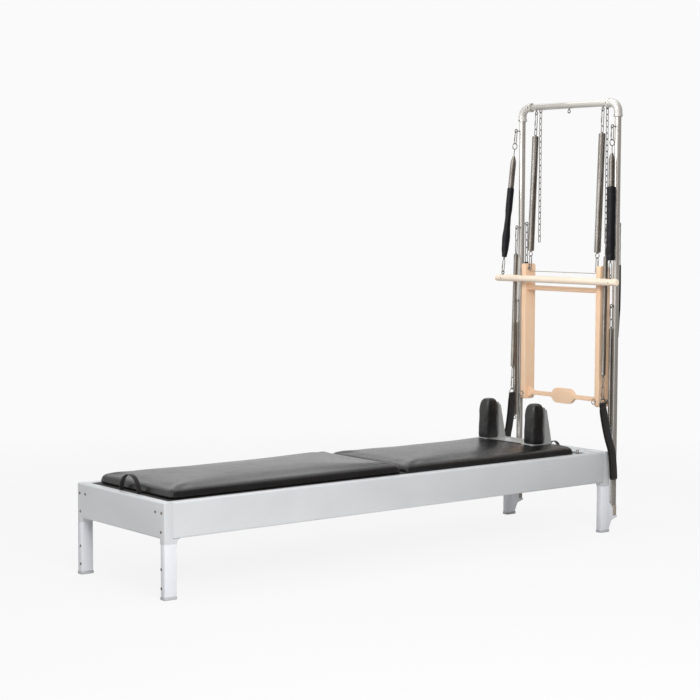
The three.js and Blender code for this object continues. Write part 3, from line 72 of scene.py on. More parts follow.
def inside(sign, inset):  # a place across the unit, by its inset from a side rail's outer face
    return sign * (frameHalf - inset)


def placeCamera(view):
    yaw, pitch = math.radians(view["yaw"]), math.radians(view["pitch"])
    flat = math.cos(pitch)
    look = Vector((flat * math.cos(yaw), flat * math.sin(yaw), math.sin(pitch)))
    bpy.ops.object.camera_add(location=view["place"])
    camera = bpy.context.object
    turn = look.to_track_quat("-Z", "Y") @ Quaternion((0, 0, 1), math.radians(view["roll"]))
    camera.rotation_euler = turn.to_euler()
    camera.data.lens = view["lens"]
    camera.data.clip_end = 100
    scene.camera = camera


placeCamera(cameraView)


def maths(operation, swapped=False):  # makes a mark's + or - or *
    def work(mark, other):
        first, second = (other, mark) if swapped else (mark, other)
        return mark.paint.node("Math", {0: first, 1: second}, operation=operation)

    return work


class Mark:  # a node's output, so that shader maths can be written as sums
    def __init__(self, paint, socket):
        self.paint, self.socket = paint, socket

    __add__ = __radd__ = maths("ADD")
    __rsub__ = maths("SUBTRACT", True)
    __mul__ = maths("MULTIPLY")


# one material, or the world, while its nodes are laid
class Paint:
    def __init__(self, tree):
        self.tree = tree
        tree.nodes.clear()

    def node(self, kind, sockets=None, out=0, **settings):
        made = self.tree.nodes.new("ShaderNode" + kind)
        for key, value in settings.items():
            if key == "stops":
                ramp = made.color_ramp.elements
                while len(ramp) < len(value):
                    ramp.new(0.5)
                for stop, (place, colour) in zip(ramp, value):
                    stop.position, stop.color = place, (*colour, 1)
            else:
                setattr(made, key, value)
        for key, value in (sockets or {}).items():
            socket = made.inputs[key]
            if isinstance(value, Mark):
                self.tree.links.new(value.socket, socket)
            else:
                socket.default_value = (*value, 1) if socket.type == "RGBA" else value
        return Mark(self, made.outputs[out]) if made.outputs else None

    def place(self, scale=(1, 1, 1)):  # object coordinates, stretched
        return self.node("Mapping", {"Vector": self.node("TexCoord", out="Object"), "Scale": scale})

    def noise(self, spot, scale, detail=2.0, rough=0.5, warp=0.0):
        sockets = {"Vector": spot, "Scale": scale, "Detail": detail, "Roughness": rough, "Distortion": warp}
        return self.node("TexNoise", sockets)

    def ramp(self, value, *stops):
        return self.node("ValToRGB", {"Fac": value}, stops=stops)

    def level(self, value, low, high, toLow=0.0, toHigh=1.0):
        return self.node("MapRange", {"Value": value, 1: low, 2: high, 3: toLow, 4: toHigh})

    def mix(self, share, first, second):
        return self.node("Mix", {0: share, 6: first, 7: second}, 2, data_type="RGBA")

    def choice(self, share, first, second):
        return self.node("MixShader", {0: share, 1: first, 2: second})

    def shader(self, kind, colour, **more):
        return self.node(kind, {"Color": colour, **more})

    def bump(self, height, distance, strength=1.0, under=None):
        sockets = {"Height": height, "Distance": distance, "Strength": strength}
        if under:
            sockets["Normal"] = under
        return self.node("Bump", sockets)

    def surface(self, shader, kind="OutputMaterial"):
        self.node(kind, {"Surface": shader})


finishes = {}


def paintOf(name, lay):  # lays a material's nodes once
    finishes[name] = bpy.data.materials.new(name)
    finishes[name].use_nodes = True
    paint = Paint(finishes[name].node_tree)
    paint.surface(paint.node("BsdfPrincipled", lay(paint)))


along = {"X": (1, 0, 0), "Y": (0, 1, 0), "Z": (0, 0, 1)}

# satin extrusion: fine draw lines along its length, faint clouds and handling marks
satin = {"base": (0.835, 0.86, 0.88), "dull": (0.77, 0.79, 0.805), "rough": 0.42, "metal": 0.25, "lines": 900}
legSatin = {"base": (0.94, 0.95, 1.0), "dull": (0.88, 0.89, 0.94), "rough": 0.45, "metal": 0.1, "lines": 700}


def satinAluminium(name, axis, satin):
    def lay(paint):
        stretch = [3.0 if step else satin["lines"] for step in along[axis]]
        lines = paint.noise(paint.place(stretch), 1.0, 3.0, 0.6)
        clouds = paint.noise(paint.place(), 2.6, 4.0, 0.55, 0.4)
        marks = paint.noise(paint.place(), 38.0, 5.0, 0.7)
        tone = paint.level(clouds * 0.7 + lines * 0.3, 0.36, 0.64)
        colour = paint.mix(tone, satin["dull"], satin["base"])
        smear = paint.level(marks, 0.5, 0.72)
        rough = satin["rough"] - 0.06 + lines * 0.08 + clouds * 0.06 + smear * 0.03
        return {
            "Base Color": colour,
            "Metallic": satin["metal"],
            "Roughness": rough,
            "Normal": paint.bump(lines, 0.00006, 0.5),
        }

    paintOf(name + axis, lay)


polish = {"base": (0.78, 0.755, 0.72), "deep": (0.69, 0.665, 0.63), "rough": 0.12, "metal": 0.74}


def polishedTube(axis):
    def lay(paint):
        stretch = [2.0 if step else 420.0 for step in along[axis]]
        lines = paint.noise(paint.place(stretch), 1.0, 2.0, 0.5)
        clouds = paint.noise(paint.place(), 7.0, 3.0, 0.5)
        spots = paint.level(paint.noise(paint.place(), 60.0, 4.0, 0.7), 0.55, 0.75)
        return {
            "Base Color": paint.mix(clouds, polish["deep"], polish["base"]),
            "Metallic": polish["metal"],
            "Roughness": polish["rough"] - 0.05 + lines * 0.1 + spots * 0.08,
            "Normal": paint.bump(lines, 0.00003, 0.4),
        }

    paintOf("polishedTube" + axis, lay)


def plainMetal(name, base, deep, rough, metal=1.0, grain=90.0, relief=0.00004):
    def lay(paint):
        clouds = paint.noise(paint.place(), 11.0, 3.0, 0.55)
        fine = paint.noise(paint.place(), grain, 4.0, 0.65)
        return {
            "Base Color": paint.mix(paint.level(clouds, 0.3, 0.7), deep, base),
            "Metallic": metal,
            "Roughness": rough - 0.05 + fine * 0.1,
            "Normal": paint.bump(fine, relief, 0.6),
        }

    paintOf(name, lay)


def moulded(name, base, deep, rough=0.5, grain=650.0, relief=0.00012):
    def lay(paint):
        clouds = paint.noise(paint.place(), 14.0, 3.0, 0.5)
        fine = paint.noise(paint.place(), grain, 2.0, 0.5)
        return {
            "Base Color": paint.mix(clouds, deep, base),
            "Roughness": rough - 0.06 + fine * 0.12,
            "Normal": paint.bump(fine, relief, 0.5),
        }

    paintOf(name, lay)


# upholstery vinyl: pebbled grain, soft creases, a worn satin on the high spots
vinyl = {
    "base": (0.006, 0.006, 0.0068), "worn": (0.011, 0.011, 0.012), "rough": 0.24,
    "pebble": 620.0, "wander": 0.004, "relief": 0.00016, "creases": 0.0011,
}


def padVinyl(paint):
    spot = paint.place()
    warp = paint.noise(spot, 90.0, 2.0)
    push = {0: warp, 1: (vinyl["wander"],) * 3, 2: spot}
    shifted = paint.node("VectorMath", push, operation="MULTIPLY_ADD")
    grain = {"Vector": shifted, "Scale": vinyl["pebble"]}
    cells = paint.node("TexVoronoi", grain, feature="DISTANCE_TO_EDGE")
    pebble = paint.level(cells, 0.0, 0.22)
    creases = paint.noise(spot, 26.0, 4.0, 0.6, 0.8)
    broad = paint.noise(spot, 5.0, 3.0, 0.5)
    worn = paint.level(broad * 0.6 + creases * 0.4, 0.42, 0.66)
    rough = vinyl["rough"] - 0.05 + worn * 0.06 + (1 - pebble) * 0.10
    soft = paint.bump(creases, vinyl["creases"], 0.35)
    return {
        "Base Color": paint.mix(worn, vinyl["base"], vinyl["worn"]),
        "Roughness": rough,
        "Specular IOR Level": 0.75,
        "Normal": paint.bump(pebble, vinyl["relief"], 0.55, soft),
    }


# woven webbing: ribs across, yarns along, a little fluff
weave = {"base": (0.006, 0.0052, 0.0052), "top": (0.022, 0.0185, 0.018), "rib": 640.0, "yarn": 900.0}


def webbingCloth(paint):
    def rows(way, number):  # the map "cloth" holds metres along and across
        sockets = {"Vector": paint.node("UVMap", uv_map="cloth"), "Scale": number / math.tau}
        return paint.node("TexWave", sockets, bands_direction=way)

    ribs, yarns = rows("X", weave["rib"]), rows("Y", weave["yarn"])
    fluff = paint.noise(paint.place(), 420.0, 3.0, 0.6)
    knit = ribs * 0.6 + yarns * 0.4
    return {
        "Base Color": paint.mix(knit * 0.6 + fluff * 0.4, weave["base"], weave["top"]),
        "Roughness": 0.72 + fluff * 0.15,
        "Sheen Weight": 0.25,
        "Normal": paint.bump(knit, 0.0004, 0.6, paint.bump(fluff, 0.0003, 0.4)),
    }


knitting = {"base": (0.004, 0.004, 0.0055), "top": (0.010, 0.010, 0.014), "stitch": 760.0}


def sleeveCloth(paint):  # knitted cover over a spring
    spot = paint.place()
    stitches = {"Vector": paint.place((1, 1, 0.5)), "Scale": knitting["stitch"]}
    knit = paint.node("TexVoronoi", stitches)
    wrinkles = paint.noise(paint.place((1, 1, 2.2)), 34.0, 3.0, 0.5)
    tone = paint.noise(spot, 12.0, 3.0)
    return {
        "Base Color": paint.mix(tone, knitting["base"], knitting["top"]),
        "Roughness": 0.36 + knit * 0.1,
        "Specular IOR Level": 0.35,
        "Normal": paint.bump(wrinkles, 0.002, 0.5, paint.bump(knit, 0.0003, 0.5)),
    }


maple = {
    "light": (1.0, 0.72, 0.50), "mid": (0.99, 0.665, 0.435), "dark": (0.87, 0.54, 0.33), "rough": 0.42,
}
paleMaple = {
    "light": (1.0, 0.875, 0.725), "mid": (1.0, 0.825, 0.65), "dark": (0.90, 0.69, 0.50), "rough": 0.38,
}


def mapleWood(name, axis, maple):  # growth bands, fine pores and flecks along the piece
    def lay(paint):
        stretch = [0.09 if step else 1.0 for step in along[axis]]
        pores = [0.035 if step else 1.0 for step in along[axis]]
        spot = paint.place(stretch)
        bands = paint.noise(spot, 42.0, 3.0, 0.55, 1.6)
        broad = paint.noise(spot, 9.0, 2.0, 0.5, 0.6)
        fine = paint.noise(paint.place(pores), 520.0, 3.0, 0.6)
        fleck = paint.level(paint.noise(paint.place(pores), 260.0, 2.0), 0.62, 0.74)
        tone = paint.level(bands * 0.5 + broad * 0.35 + fine * 0.15, 0.34, 0.66)
        stops = ((0.0, "dark"), (0.28, "mid"), (0.75, "light"), (1.0, "light"))
        colour = paint.ramp(tone, *((place, maple[shade]) for place, shade in stops))
        colour = paint.mix(fleck * 0.35, colour, maple["dark"])
        return {
            "Base Color": colour,
            "Roughness": maple["rough"] - 0.05 + fine * 0.12,
            "Coat Weight": 0.12,
            "Coat Roughness": 0.3,
            "Normal": paint.bump(fine, 0.00012, 0.35),
        }

    paintOf(name + axis, lay)


def blackPly(paint):  # stained plywood deck under the mat
    grain = paint.noise(paint.place((0.08, 1, 1)), 180.0, 4.0, 0.6)
    return {
        "Base Color": paint.mix(grain, (0.010, 0.009, 0.0085), (0.028, 0.025, 0.022)),
        "Roughness": 0.55 + grain * 0.15,
        "Normal": paint.bump(grain, 0.0002, 0.5),
    }


for lay in (padVinyl, webbingCloth, sleeveCloth, blackPly):
    paintOf(lay.__name__, lay)
for axis in "XYZ":
    satinAluminium("satinAluminium", axis, satin)
    polishedTube(axis)
    mapleWood("mapleWood", axis, maple)
satinAluminium("legAluminium", "Z", legSatin)
mapleWood("paleMaple", "Y", paleMaple)
plainMetal("brightWire", (0.52, 0.51, 0.50), (0.36, 0.35, 0.34), 0.13)
plainMetal("springSteel", (0.58, 0.55, 0.515), (0.42, 0.395, 0.365), 0.18)
plainMetal("castFitting", (0.86, 0.84, 0.80), (0.78, 0.76, 0.72), 0.36, 0.55, 240.0, 0.0001)
plainMetal("satinPlate", (0.74, 0.76, 0.755), (0.62, 0.64, 0.635), 0.36, 0.6)
plainMetal("trackMetal", (0.64, 0.65, 0.66), (0.52, 0.53, 0.54), 0.40, 0.9)
plainMetal("boltMetal", (0.30, 0.25, 0.20), (0.16, 0.13, 0.10), 0.35)
moulded("tyrePlastic", (0.05, 0.05, 0.052), (0.03, 0.03, 0.031))
moulded("footPlastic", (0.62, 0.63, 0.65), (0.50, 0.51, 0.53), 0.55)
moulded("capPlastic", (0.42, 0.365, 0.31), (0.34, 0.295, 0.25), 0.45)
moulded("threadBlack", (0.03, 0.03, 0.031), (0.02, 0.02, 0.021), 0.7)
print("finishes laid,", len(finishes))


# modelling helpers
def choose(*pieces):
    bpy.ops.object.select_all(action="DESELECT")
    for piece in pieces:
        piece.select_set(True)
    bpy.context.view_layer.objects.active = pieces[0]


def applyAll(piece):
    choose(piece)
    for modifier in list(piece.modifiers):
        bpy.ops.object.modifier_apply(modifier=modifier.name)


def soften(piece, width, segments=2, angle=30):
    bevel = piece.modifiers.new("edge", "BEVEL")
    bevel.width, bevel.segments = width, segments
    bevel.limit_method, bevel.angle_limit = "ANGLE", math.radians(angle)
    bevel.miter_outer = "MITER_ARC"
    applyAll(piece)


def smooth(piece, angle=None):
    choose(piece)
    if angle:
        bpy.ops.object.shade_smooth_by_angle(angle=math.radians(angle))
    else:
        bpy.ops.object.shade_smooth()
    return piece


def inEdit(piece, *steps):
    choose(piece)
    bpy.ops.object.mode_set(mode="EDIT")
    bpy.ops.mesh.select_all(action="SELECT")
    for step in steps:
        step()
    bpy.ops.object.mode_set(mode="OBJECT")


def weldPoints(gap=0.00001):
    return lambda: bpy.ops.mesh.remove_doubles(threshold=gap)


def faceOut():
    bpy.ops.mesh.normals_make_consistent(inside=False)


def settle(piece, name, finish, body=None, stands=None):
    choose(piece)
    bpy.ops.object.transform_apply(location=True, rotation=True, scale=True)
    piece.name = piece.data.name = name
    if finish:
        finishOf(piece, finish)
    if body:
        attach(piece, body)
    if stands:
        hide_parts(stands)
    return piece


def linked(data):
    piece = bpy.data.objects.new("shape", data)
    scene.collection.objects.link(piece)
    return piece


def meshOf(points, faces, edges=()):
    mesh = bpy.data.meshes.new("shape")
    mesh.from_pydata([tuple(p) for p in points], edges, faces)
    return linked(mesh)


def tubeFaces(rings, sides, total):  # each ring of points joined to the next one
    corners = ((0, 0), (1, 0), (1, 1), (0, 1))
    faces = []
    for i in range(rings):
        for k in range(sides):
            faces.append(tuple(((i + up) * sides + (k + turn) % sides) % total for up, turn in corners))
    return faces


def joined(*pieces):
    choose(*pieces)
    bpy.ops.object.join()
    return bpy.context.object


def copyOf(node, *steps):
    piece = linked(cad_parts[node].data.copy())
    inEdit(piece, weldPoints(), *steps)
    return piece


def dressNode(node, name, finish, body, width):
    piece = copyOf(node, lambda: bpy.ops.mesh.dissolve_limited(angle_limit=math.radians(0.6)))
    soften(piece, width, 2, 35)
    smooth(piece, 35)
    settle(piece, name, finish, body, node)


def wireAlong(points, radius, closed=False, ringSides=2):
    curve = bpy.data.curves.new("shape", "CURVE")
    curve.dimensions = "3D"
    curve.bevel_depth, curve.bevel_resolution = radius, ringSides
    curve.use_fill_caps = True
    line = curve.splines.new("POLY")
    line.points.add(len(points) - 1)
    for spot, point in zip(line.points, points):
        spot.co = (*point, 1)
    line.use_cyclic_u = closed
    choose(linked(curve))
    bpy.ops.object.convert(target="MESH")
    piece = bpy.context.object
    inEdit(piece, weldPoints(0.000001), faceOut)
    return smooth(piece, 50)


def basic(kind, **made):
    bpy.ops.object.select_all(action="DESELECT")
    getattr(bpy.ops.mesh, f"primitive_{kind}_add")(**made)
    return bpy.context.object


def roundBar(start, end, radius, sides=24, edge=0.0006):
    start, end = Vector(start), Vector(end)
    line, middle = end - start, (start + end) / 2
    piece = basic("cylinder", vertices=sides, radius=radius, depth=line.length, location=middle)
    piece.rotation_euler = line.to_track_quat("Z", "Y").to_euler()
    bpy.ops.object.transform_apply(location=True, rotation=True, scale=True)
    if edge:
        soften(piece, edge, 2, 50)
    return smooth(piece, 40)


def blockOf(size, middle):
    block = basic("cube", size=1, location=middle)
    block.scale = size
    bpy.ops.object.transform_apply(location=True, rotation=True, scale=True)
    return block


def roundAcross(block, reach, segments):  # only the edges that run across the unit
    for edge in block.data.edges:
        a, b = (block.data.vertices[i].co for i in edge.vertices)
        edge.select = abs(a.y - b.y) > 0.01
    for face in block.data.polygons:
        face.select = False
    choose(block)
    bpy.context.tool_settings.mesh_select_mode = (False, True, False)
    bpy.ops.object.mode_set(mode="EDIT")
    bpy.ops.mesh.bevel(offset=reach, segments=segments, affect="EDGES")
    bpy.ops.object.mode_set(mode="OBJECT")


def metres(shape):
    return [(a / 1000, b / 1000) for a, b in shape]


def lathe(profile, middle, axis, steps=40):  # profile: (radius, along)
    axis = Vector(axis).normalized()
    out = axis.orthogonal().normalized()
    points = [Vector(middle) + out * r + axis * h for r, h in profile]
    piece = meshOf(points, [], [(i, i + 1) for i in range(len(points) - 1)])
    sweep = {"steps": steps, "angle": math.tau, "center": tuple(middle), "axis": tuple(axis)}
    inEdit(piece, lambda: bpy.ops.mesh.spin(**sweep))
    inEdit(piece, weldPoints(), faceOut)
    return smooth(piece, 40)


def finishOf(piece, name="brightWire"):
    piece.data.materials.clear()
    piece.data.materials.append(finishes[name])
    return piece


def turned(piece, matrix):
    piece.data.transform(matrix)
    return piece


# frame: rails, legs, feet and tracks keep the solids' shape with softened edges
frameShells = (
    (("near_side_rail", "far_side_rail"), "satinAluminiumX", "frame_metal", 0.0008),
    (("foot_end_rail", "head_end_rail"), "satinAluminiumY", "frame_metal", 0.0008),
    (("foot_near_leg", "foot_far_leg", "head_near_leg", "head_far_leg"),
     "legAluminiumZ", "frame_metal", 0.0012),
    (("foot_near_foot_pad", "foot_far_foot_pad", "head_near_foot_pad", "head_far_foot_pad"),
     "footPlastic", "foot_plastic", 0.0018),
    (("near_track", "far_track"), "trackMetal", "track_metal", 0.0005),
    (("spring_bar",), "satinAluminiumY", "track_metal", 0.0012),
    (("near_post_mount", "far_post_mount"), "satinAluminiumZ", "fitting_metal", 0.0008),
)
for nodes, finish, slot, width in frameShells:
    for node in nodes:
        first, *others = node.replace("_foot_pad", "_pad").split("_")
        dressNode(node, first + "".join(word.title() for word in others), finish, "frame", width)

screwHead = {"radius": 0.0048, "rise": 0.0022, "well": 0.0024, "deep": 0.0016, "rim": 0.0066, "low": 0.0007}


def screw(name, place, facing, body, size=1.0):  # button head on a thin washer
    r, h, well, deep, rim, low = (value * size for value in screwHead.values())
    head = [(0, h - deep), (well, h - deep), (well, h), (r * 0.72, h)]
    head += [(r * 0.94, h * 0.7), (r, low), (0, low)]
    washer = [(0, low), (rim * 0.92, low), (rim, low * 0.4), (rim, 0.0), (0, 0.0)]
    head = finishOf(lathe(head, place, facing, 16), "boltMetal")
    washer = finishOf(lathe(washer, place, facing, 20))
    settle(joined(head, washer), name, None, body)


endScrews = ((67, 344), (22, 344), (26, 268), (25, 121), (25, 45))  # inset from the side, height
for side, sign in sideNames:
    for end, x, facing in (("foot", 0, (-1, 0, 0)), ("head", frameLong, (1, 0, 0))):
        for number, (inset, z) in enumerate(endScrews):
            if end == "head" and z > 200 and inset < 40:
                continue  # the post mount covers these
            place = at(x, inside(sign, inset), z)
            screw(f"{end}{side.title()}Screw{number}", place, facing, "frame")
print("frame dressed")

# tower tubes, elbows and caps
tower = {"x": 2537, "inset": 16, "radius": 16, "topZ": 2037, "bend": 45, "footZ": 80, "room": 0.3}
elbow = {
    "radius": 20, "startZ": 1970, "reach": 66, "collar": 22.5, "bore": 16.1, "collarLong": 14, "steps": 14,
    "lip": 0.6, "screw": 0.62,
}


def post(side, sign):
    y = inside(sign, tower["inset"])
    foot = at(tower["x"], y, tower["footZ"])
    head = at(tower["x"], y, tower["topZ"] - tower["bend"] - tower["room"])
    tube = roundBar(foot, head, tower["radius"] / 1000, 48, 0.001)
    settle(tube, side + "Post", "polishedTubeZ", "frame", side + "_post")


def elbowFitting(side, sign):
    y = inside(sign, tower["inset"])
    start = at(tower["x"], y, elbow["startZ"])
    line = [start]
    for step in range(elbow["steps"] + 1):
        angle = math.pi / 2 * step / elbow["steps"]
        across = tower["bend"] * (1 - math.cos(angle))
        up = tower["bend"] * math.sin(angle)
        line.append(at(tower["x"], y - sign * across, tower["topZ"] - tower["bend"] + up))
    end = at(tower["x"], y - sign * elbow["reach"], tower["topZ"])
    line.append(end)
    body = wireAlong(line, elbow["radius"] / 1000, False, 10)
    long, r, tube = elbow["collarLong"] / 1000, elbow["collar"] / 1000, elbow["radius"] / 1000
    lip = elbow["lip"] / 1000  # the collar's face stands just proud of the bend's own end
    profile = [
        (elbow["bore"] / 1000, -lip), (r - 0.001, -lip), (r, 0.001 - lip),
        (r, long - 0.0015), (r - 0.0012, long), (tube - 0.001, long + 0.0006),
    ]
    low = lathe(profile, start, (0, 0, 1), 48)
    high = lathe(profile, end, (0, sign, 0), 48)
    fitting = joined(body, low, high)
    settle(fitting, side + "Elbow", "castFitting", "frame", side + "_elbow")
    lowScrew = start + Vector((-r, 0, long / 2))
    highScrew = end + Vector((-r, sign * long / 2, 0))
    for name, place in (("ElbowScrewLow", lowScrew), ("ElbowScrewHigh", highScrew)):
        screw(side + name, place, (-1, 0, 0), "frame", elbow["screw"])


capShape = (
    (0, 74.7), (14.5, 74.7), (17, 75.6), (18, 78.4), (18, 120.5),
    (17.6, 123), (16.6, 124.6), (16.3, 124.6), (16.3, 80), (0, 80),
)


def postCap(side, sign):
    cap = lathe(metres(capShape), at(tower["x"], inside(sign, tower["inset"]), 0), (0, 0, 1), 48)
    settle(cap, side + "PostCap", "capPlastic", "frame", side + "_post_cap")


for side, sign in sideNames:
    post(side, sign)
    elbowFitting(side, sign)
    postCap(side, sign)
halfSpan = frameHalf - tower["inset"] - tower["bend"] - tower["room"]
spanEnds = [at(tower["x"], sign * halfSpan, tower["topZ"]) for sign in (-1, 1)]
crossTube = roundBar(*spanEnds, tower["radius"] / 1000, 48, 0.001)
settle(crossTube, "topTube", "polishedTubeY", "frame", "top_tube")

# eye bolts
eye = {"ring": 8, "wire": 2.5, "stem": 5, "overlap": 0.0004}


def eyeBolt(name, centre, foot, body, ring=eye["ring"], wire=eye["wire"], facing=(0, 1, 0)):
    centre, foot = Vector(centre), Vector(foot)
    ring, wire = ring / 1000, wire / 1000
    loop = basic("torus", major_radius=ring, minor_radius=wire, major_segments=28, minor_segments=10)
    turn = Vector(facing).to_track_quat("Z", "Y").to_matrix().to_4x4()
    turned(loop, Matrix.Translation(centre) @ turn)
    smooth(loop, 60)
    away = (centre - foot).normalized()
    shank = roundBar(foot, centre - away * (ring - eye["overlap"]), wire, 12, 0)
    washer = lathe([(wire, 0), (wire * 2.2, 0), (wire * 2.2, 0.0011), (wire, 0.0015)], foot, away, 20)
    settle(joined(loop, shank, washer), name, "brightWire", body)


tubeReach = tower["radius"] + eye["stem"] + eye["ring"]  # from a tube's axis to an eye on it
eyeFoot = 0.0155  # the shanks start just inside the tube's wall
hangers = {"y": 225, "chainShift": 8, "chainTilt": 0.87}
topEyes = [("middleHook", 0, 0.0)]
topEyes += [(side + "SpringEye", sign * hangers["y"], 0.0) for side, sign in sideNames]
for side, sign in sideNames:
    topEyes.append((side + "ChainEye", sign * hangers["y"] - hangers["chainShift"], hangers["chainTilt"]))
for name, y, tilt in topEyes:
    out = Vector((math.sin(tilt), 0, -math.cos(tilt)))
    middle = at(tower["x"], y, tower["topZ"])
    eyeBolt(name, middle + out * tubeReach / 1000, middle + out * eyeFoot, "frame")
postEyes = {
    "LowSpringEye": (2506, 13, 1077),
    "LegSpringEye": (2488, 34, 1444),
    "BarSpringEye": (2496, 13.5, 1923),
    "StrapEye": (tower["x"] + tubeReach, 24, 1462),
}
for side, sign in sideNames:
    for name, (x, inset, z) in postEyes.items():
        centre = at(x, inside(sign, inset), z)
        axis = at(tower["x"], inside(sign, tower["inset"]), z)
        away = (centre - axis).normalized()
        eyeBolt(side + name, centre, axis + away * eyeFoot, "frame")
print("tower tubes up")


def underEye(name, sign):  # where a hook hangs in a post's eye
    x, inset, z = postEyes[name]
    return at(x, inside(sign, inset), z - eye["ring"])


# springs: closely wound, with their hooks and rings, drawn hanging down and then hung in place
def longRing(topZ, half, length, wire, crossed=False, steps=9, sides=3):
    points = []
    for turn, centre in ((0, topZ - half), (math.pi, topZ - length + half)):
        for step in range(steps + 1):
            angle = turn + math.pi * step / steps
            reach, up = half * math.cos(angle), centre + half * math.sin(angle)
            points.append(Vector((reach, 0, up) if crossed else (0, reach, up)) / 1000)
    return wireAlong(points, wire / 1000, True, sides)


hook = {"half": 7, "wire": 2.2, "length": 62}
swivelShape = ((0, -2.6), (3.4, -2.6), (4.1, -1.2), (4.1, 1.2), (3.4, 2.6), (0, 2.6))
gate = {"from": 0.24, "to": 0.74, "thick": 1.35}  # shares of the hook's length and wire


def snap(topZ, length=hook["length"], crossed=False):  # a long ring with a hinged gate
    half, wire = hook["half"], hook["wire"]
    ring = longRing(topZ, half, length, wire, crossed)
    heights = [topZ - length * gate["from"], topZ - length * gate["to"]]
    ends = [Vector((half, 0, z) if crossed else (0, half, z)) / 1000 for z in heights]
    bar = roundBar(ends[0], ends[1], wire / 1000 * gate["thick"], 12, 0.0004)
    swivel = lathe(metres(swivelShape), (0, 0, (topZ - length + wire * 1.2) / 1000), (0, 0, 1), 16)
    return finishOf(joined(ring, bar, swivel))


windingGap = 1.03  # pitch over the wire's thickness
coneTip = 0.32  # the coil's radius at a closed end, as a share


def windSpring(topZ, endZ, outer, wire, coneTop=0.0, coneEnd=0.0, steps=12, sides=6):
    pitch = 2 * wire * windingGap
    turns = (topZ - endZ) / pitch
    count = int(turns * steps)
    reach = outer - wire
    points = []
    for i in range(count + 1):
        share = i / count
        z = topZ - (topZ - endZ) * share
        down, up = topZ - z, z - endZ
        narrow = 1.0
        for past, cone in ((down, coneTop), (up, coneEnd)):
            if cone and past < cone:
                narrow = min(narrow, coneTip + (1 - coneTip) * math.sin(math.pi / 2 * past / cone))
        angle = math.tau * turns * share
        r = reach * narrow
        out = Vector((math.cos(angle), math.sin(angle), 0))
        for k in range(sides):
            turn = math.tau * k / sides
            spot = out * (r + wire * math.cos(turn)) + Vector((0, 0, z + wire * math.sin(turn)))
            points.append(spot / 1000)
    ends = [tuple(range(sides)), tuple(range(count * sides, len(points)))[::-1]]
    return smooth(meshOf(points, tubeFaces(count, sides, len(points)) + ends))


def hang(piece, top, bottom):  # from straight down onto the line between two points
    line = (bottom - top).normalized()
    turn = Vector((0, 0, -1)).rotation_difference(line).to_matrix().to_4x4()
    return turned(piece, Matrix.Translation(top) @ turn)


bite = 0.4  # linked wires touch
slack = 0.3
linkDrop = eye["wire"] + hook["wire"] + slack  # a hook's top wire over the lowest wire of its eye
endRing = {"radius": 12, "wire": 2.2}
boardEye = {"x": 2507, "y": 227, "z": 1240}
rollBar = {"x": 2453, "z": 1192, "radius": 16.5, "half": 411, "soft": 6, "eyeY": 366}
barEyeZ = rollBar["z"] + rollBar["radius"] + eye["wire"] + eye["ring"]
sink = 1.8  # a coil's end reaches into the ring it is joined to
frameCoil = {"hook": 78, "link": 33, "radius": 17, "wire": 1.5, "cones": (5, 4)}


def plainRing(topZ, half, length, wire=hook["wire"], crossed=False):
    return finishOf(longRing(topZ, half, length, wire, crossed))


def coil(made, topZ, endZ, *detail):
    piece = windSpring(topZ, endZ, made["radius"], made["wire"], *made["cones"], *detail)
    return finishOf(piece, "springSteel")


def hookAndLink(half, link, hookLong=hook["length"]):  # a spring's upper end, and where its coil starts
    linkTop = linkDrop - hookLong + 2 * hook["wire"] - bite
    parts = [snap(linkDrop, hookLong), plainRing(linkTop, half, link, crossed=True)]
    return parts, linkTop - link - hook["wire"] + bite


def lowerHook(top, bottom):  # where a hook starts that hangs from the eye at the bottom
    return hook["length"] - (bottom - top).length * 1000 - linkDrop


def hangSpring(side, name, parts, top, bottom, body=None):
    piece = hang(joined(*parts), top, bottom)
    node = f"{side}_{name.lower()}_spring"
    return settle(piece, side + name + "Spring", None, body, node)


def frameSpring(side, sign):
    top = at(tower["x"], sign * hangers["y"], tower["topZ"] - tubeReach - eye["ring"])
    bottom = at(boardEye["x"], sign * boardEye["y"], boardEye["z"] + eye["ring"])
    made = frameCoil
    parts, coilTop = hookAndLink(hook["half"], made["link"], made["hook"])
    lowHookTop = lowerHook(top, bottom)
    ringTop = lowHookTop + 2 * endRing["radius"] - hook["wire"] - endRing["wire"] + bite
    parts += [
        coil(made, coilTop, ringTop + sink),
        plainRing(ringTop, endRing["radius"], 2 * endRing["radius"]),
        snap(lowHookTop, crossed=True),
    ]
    piece = hangSpring(side, "Frame", parts, top, bottom)
    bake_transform(piece)


barCoil = {
    "ring": 15, "stem": 34, "stemWire": 2.4, "stemEnd": 3, "radius": 15.5, "wire": 1.4, "cones": (40, 8),
    "inSleeve": 110, "core": 5, "coreOver": 4,
}


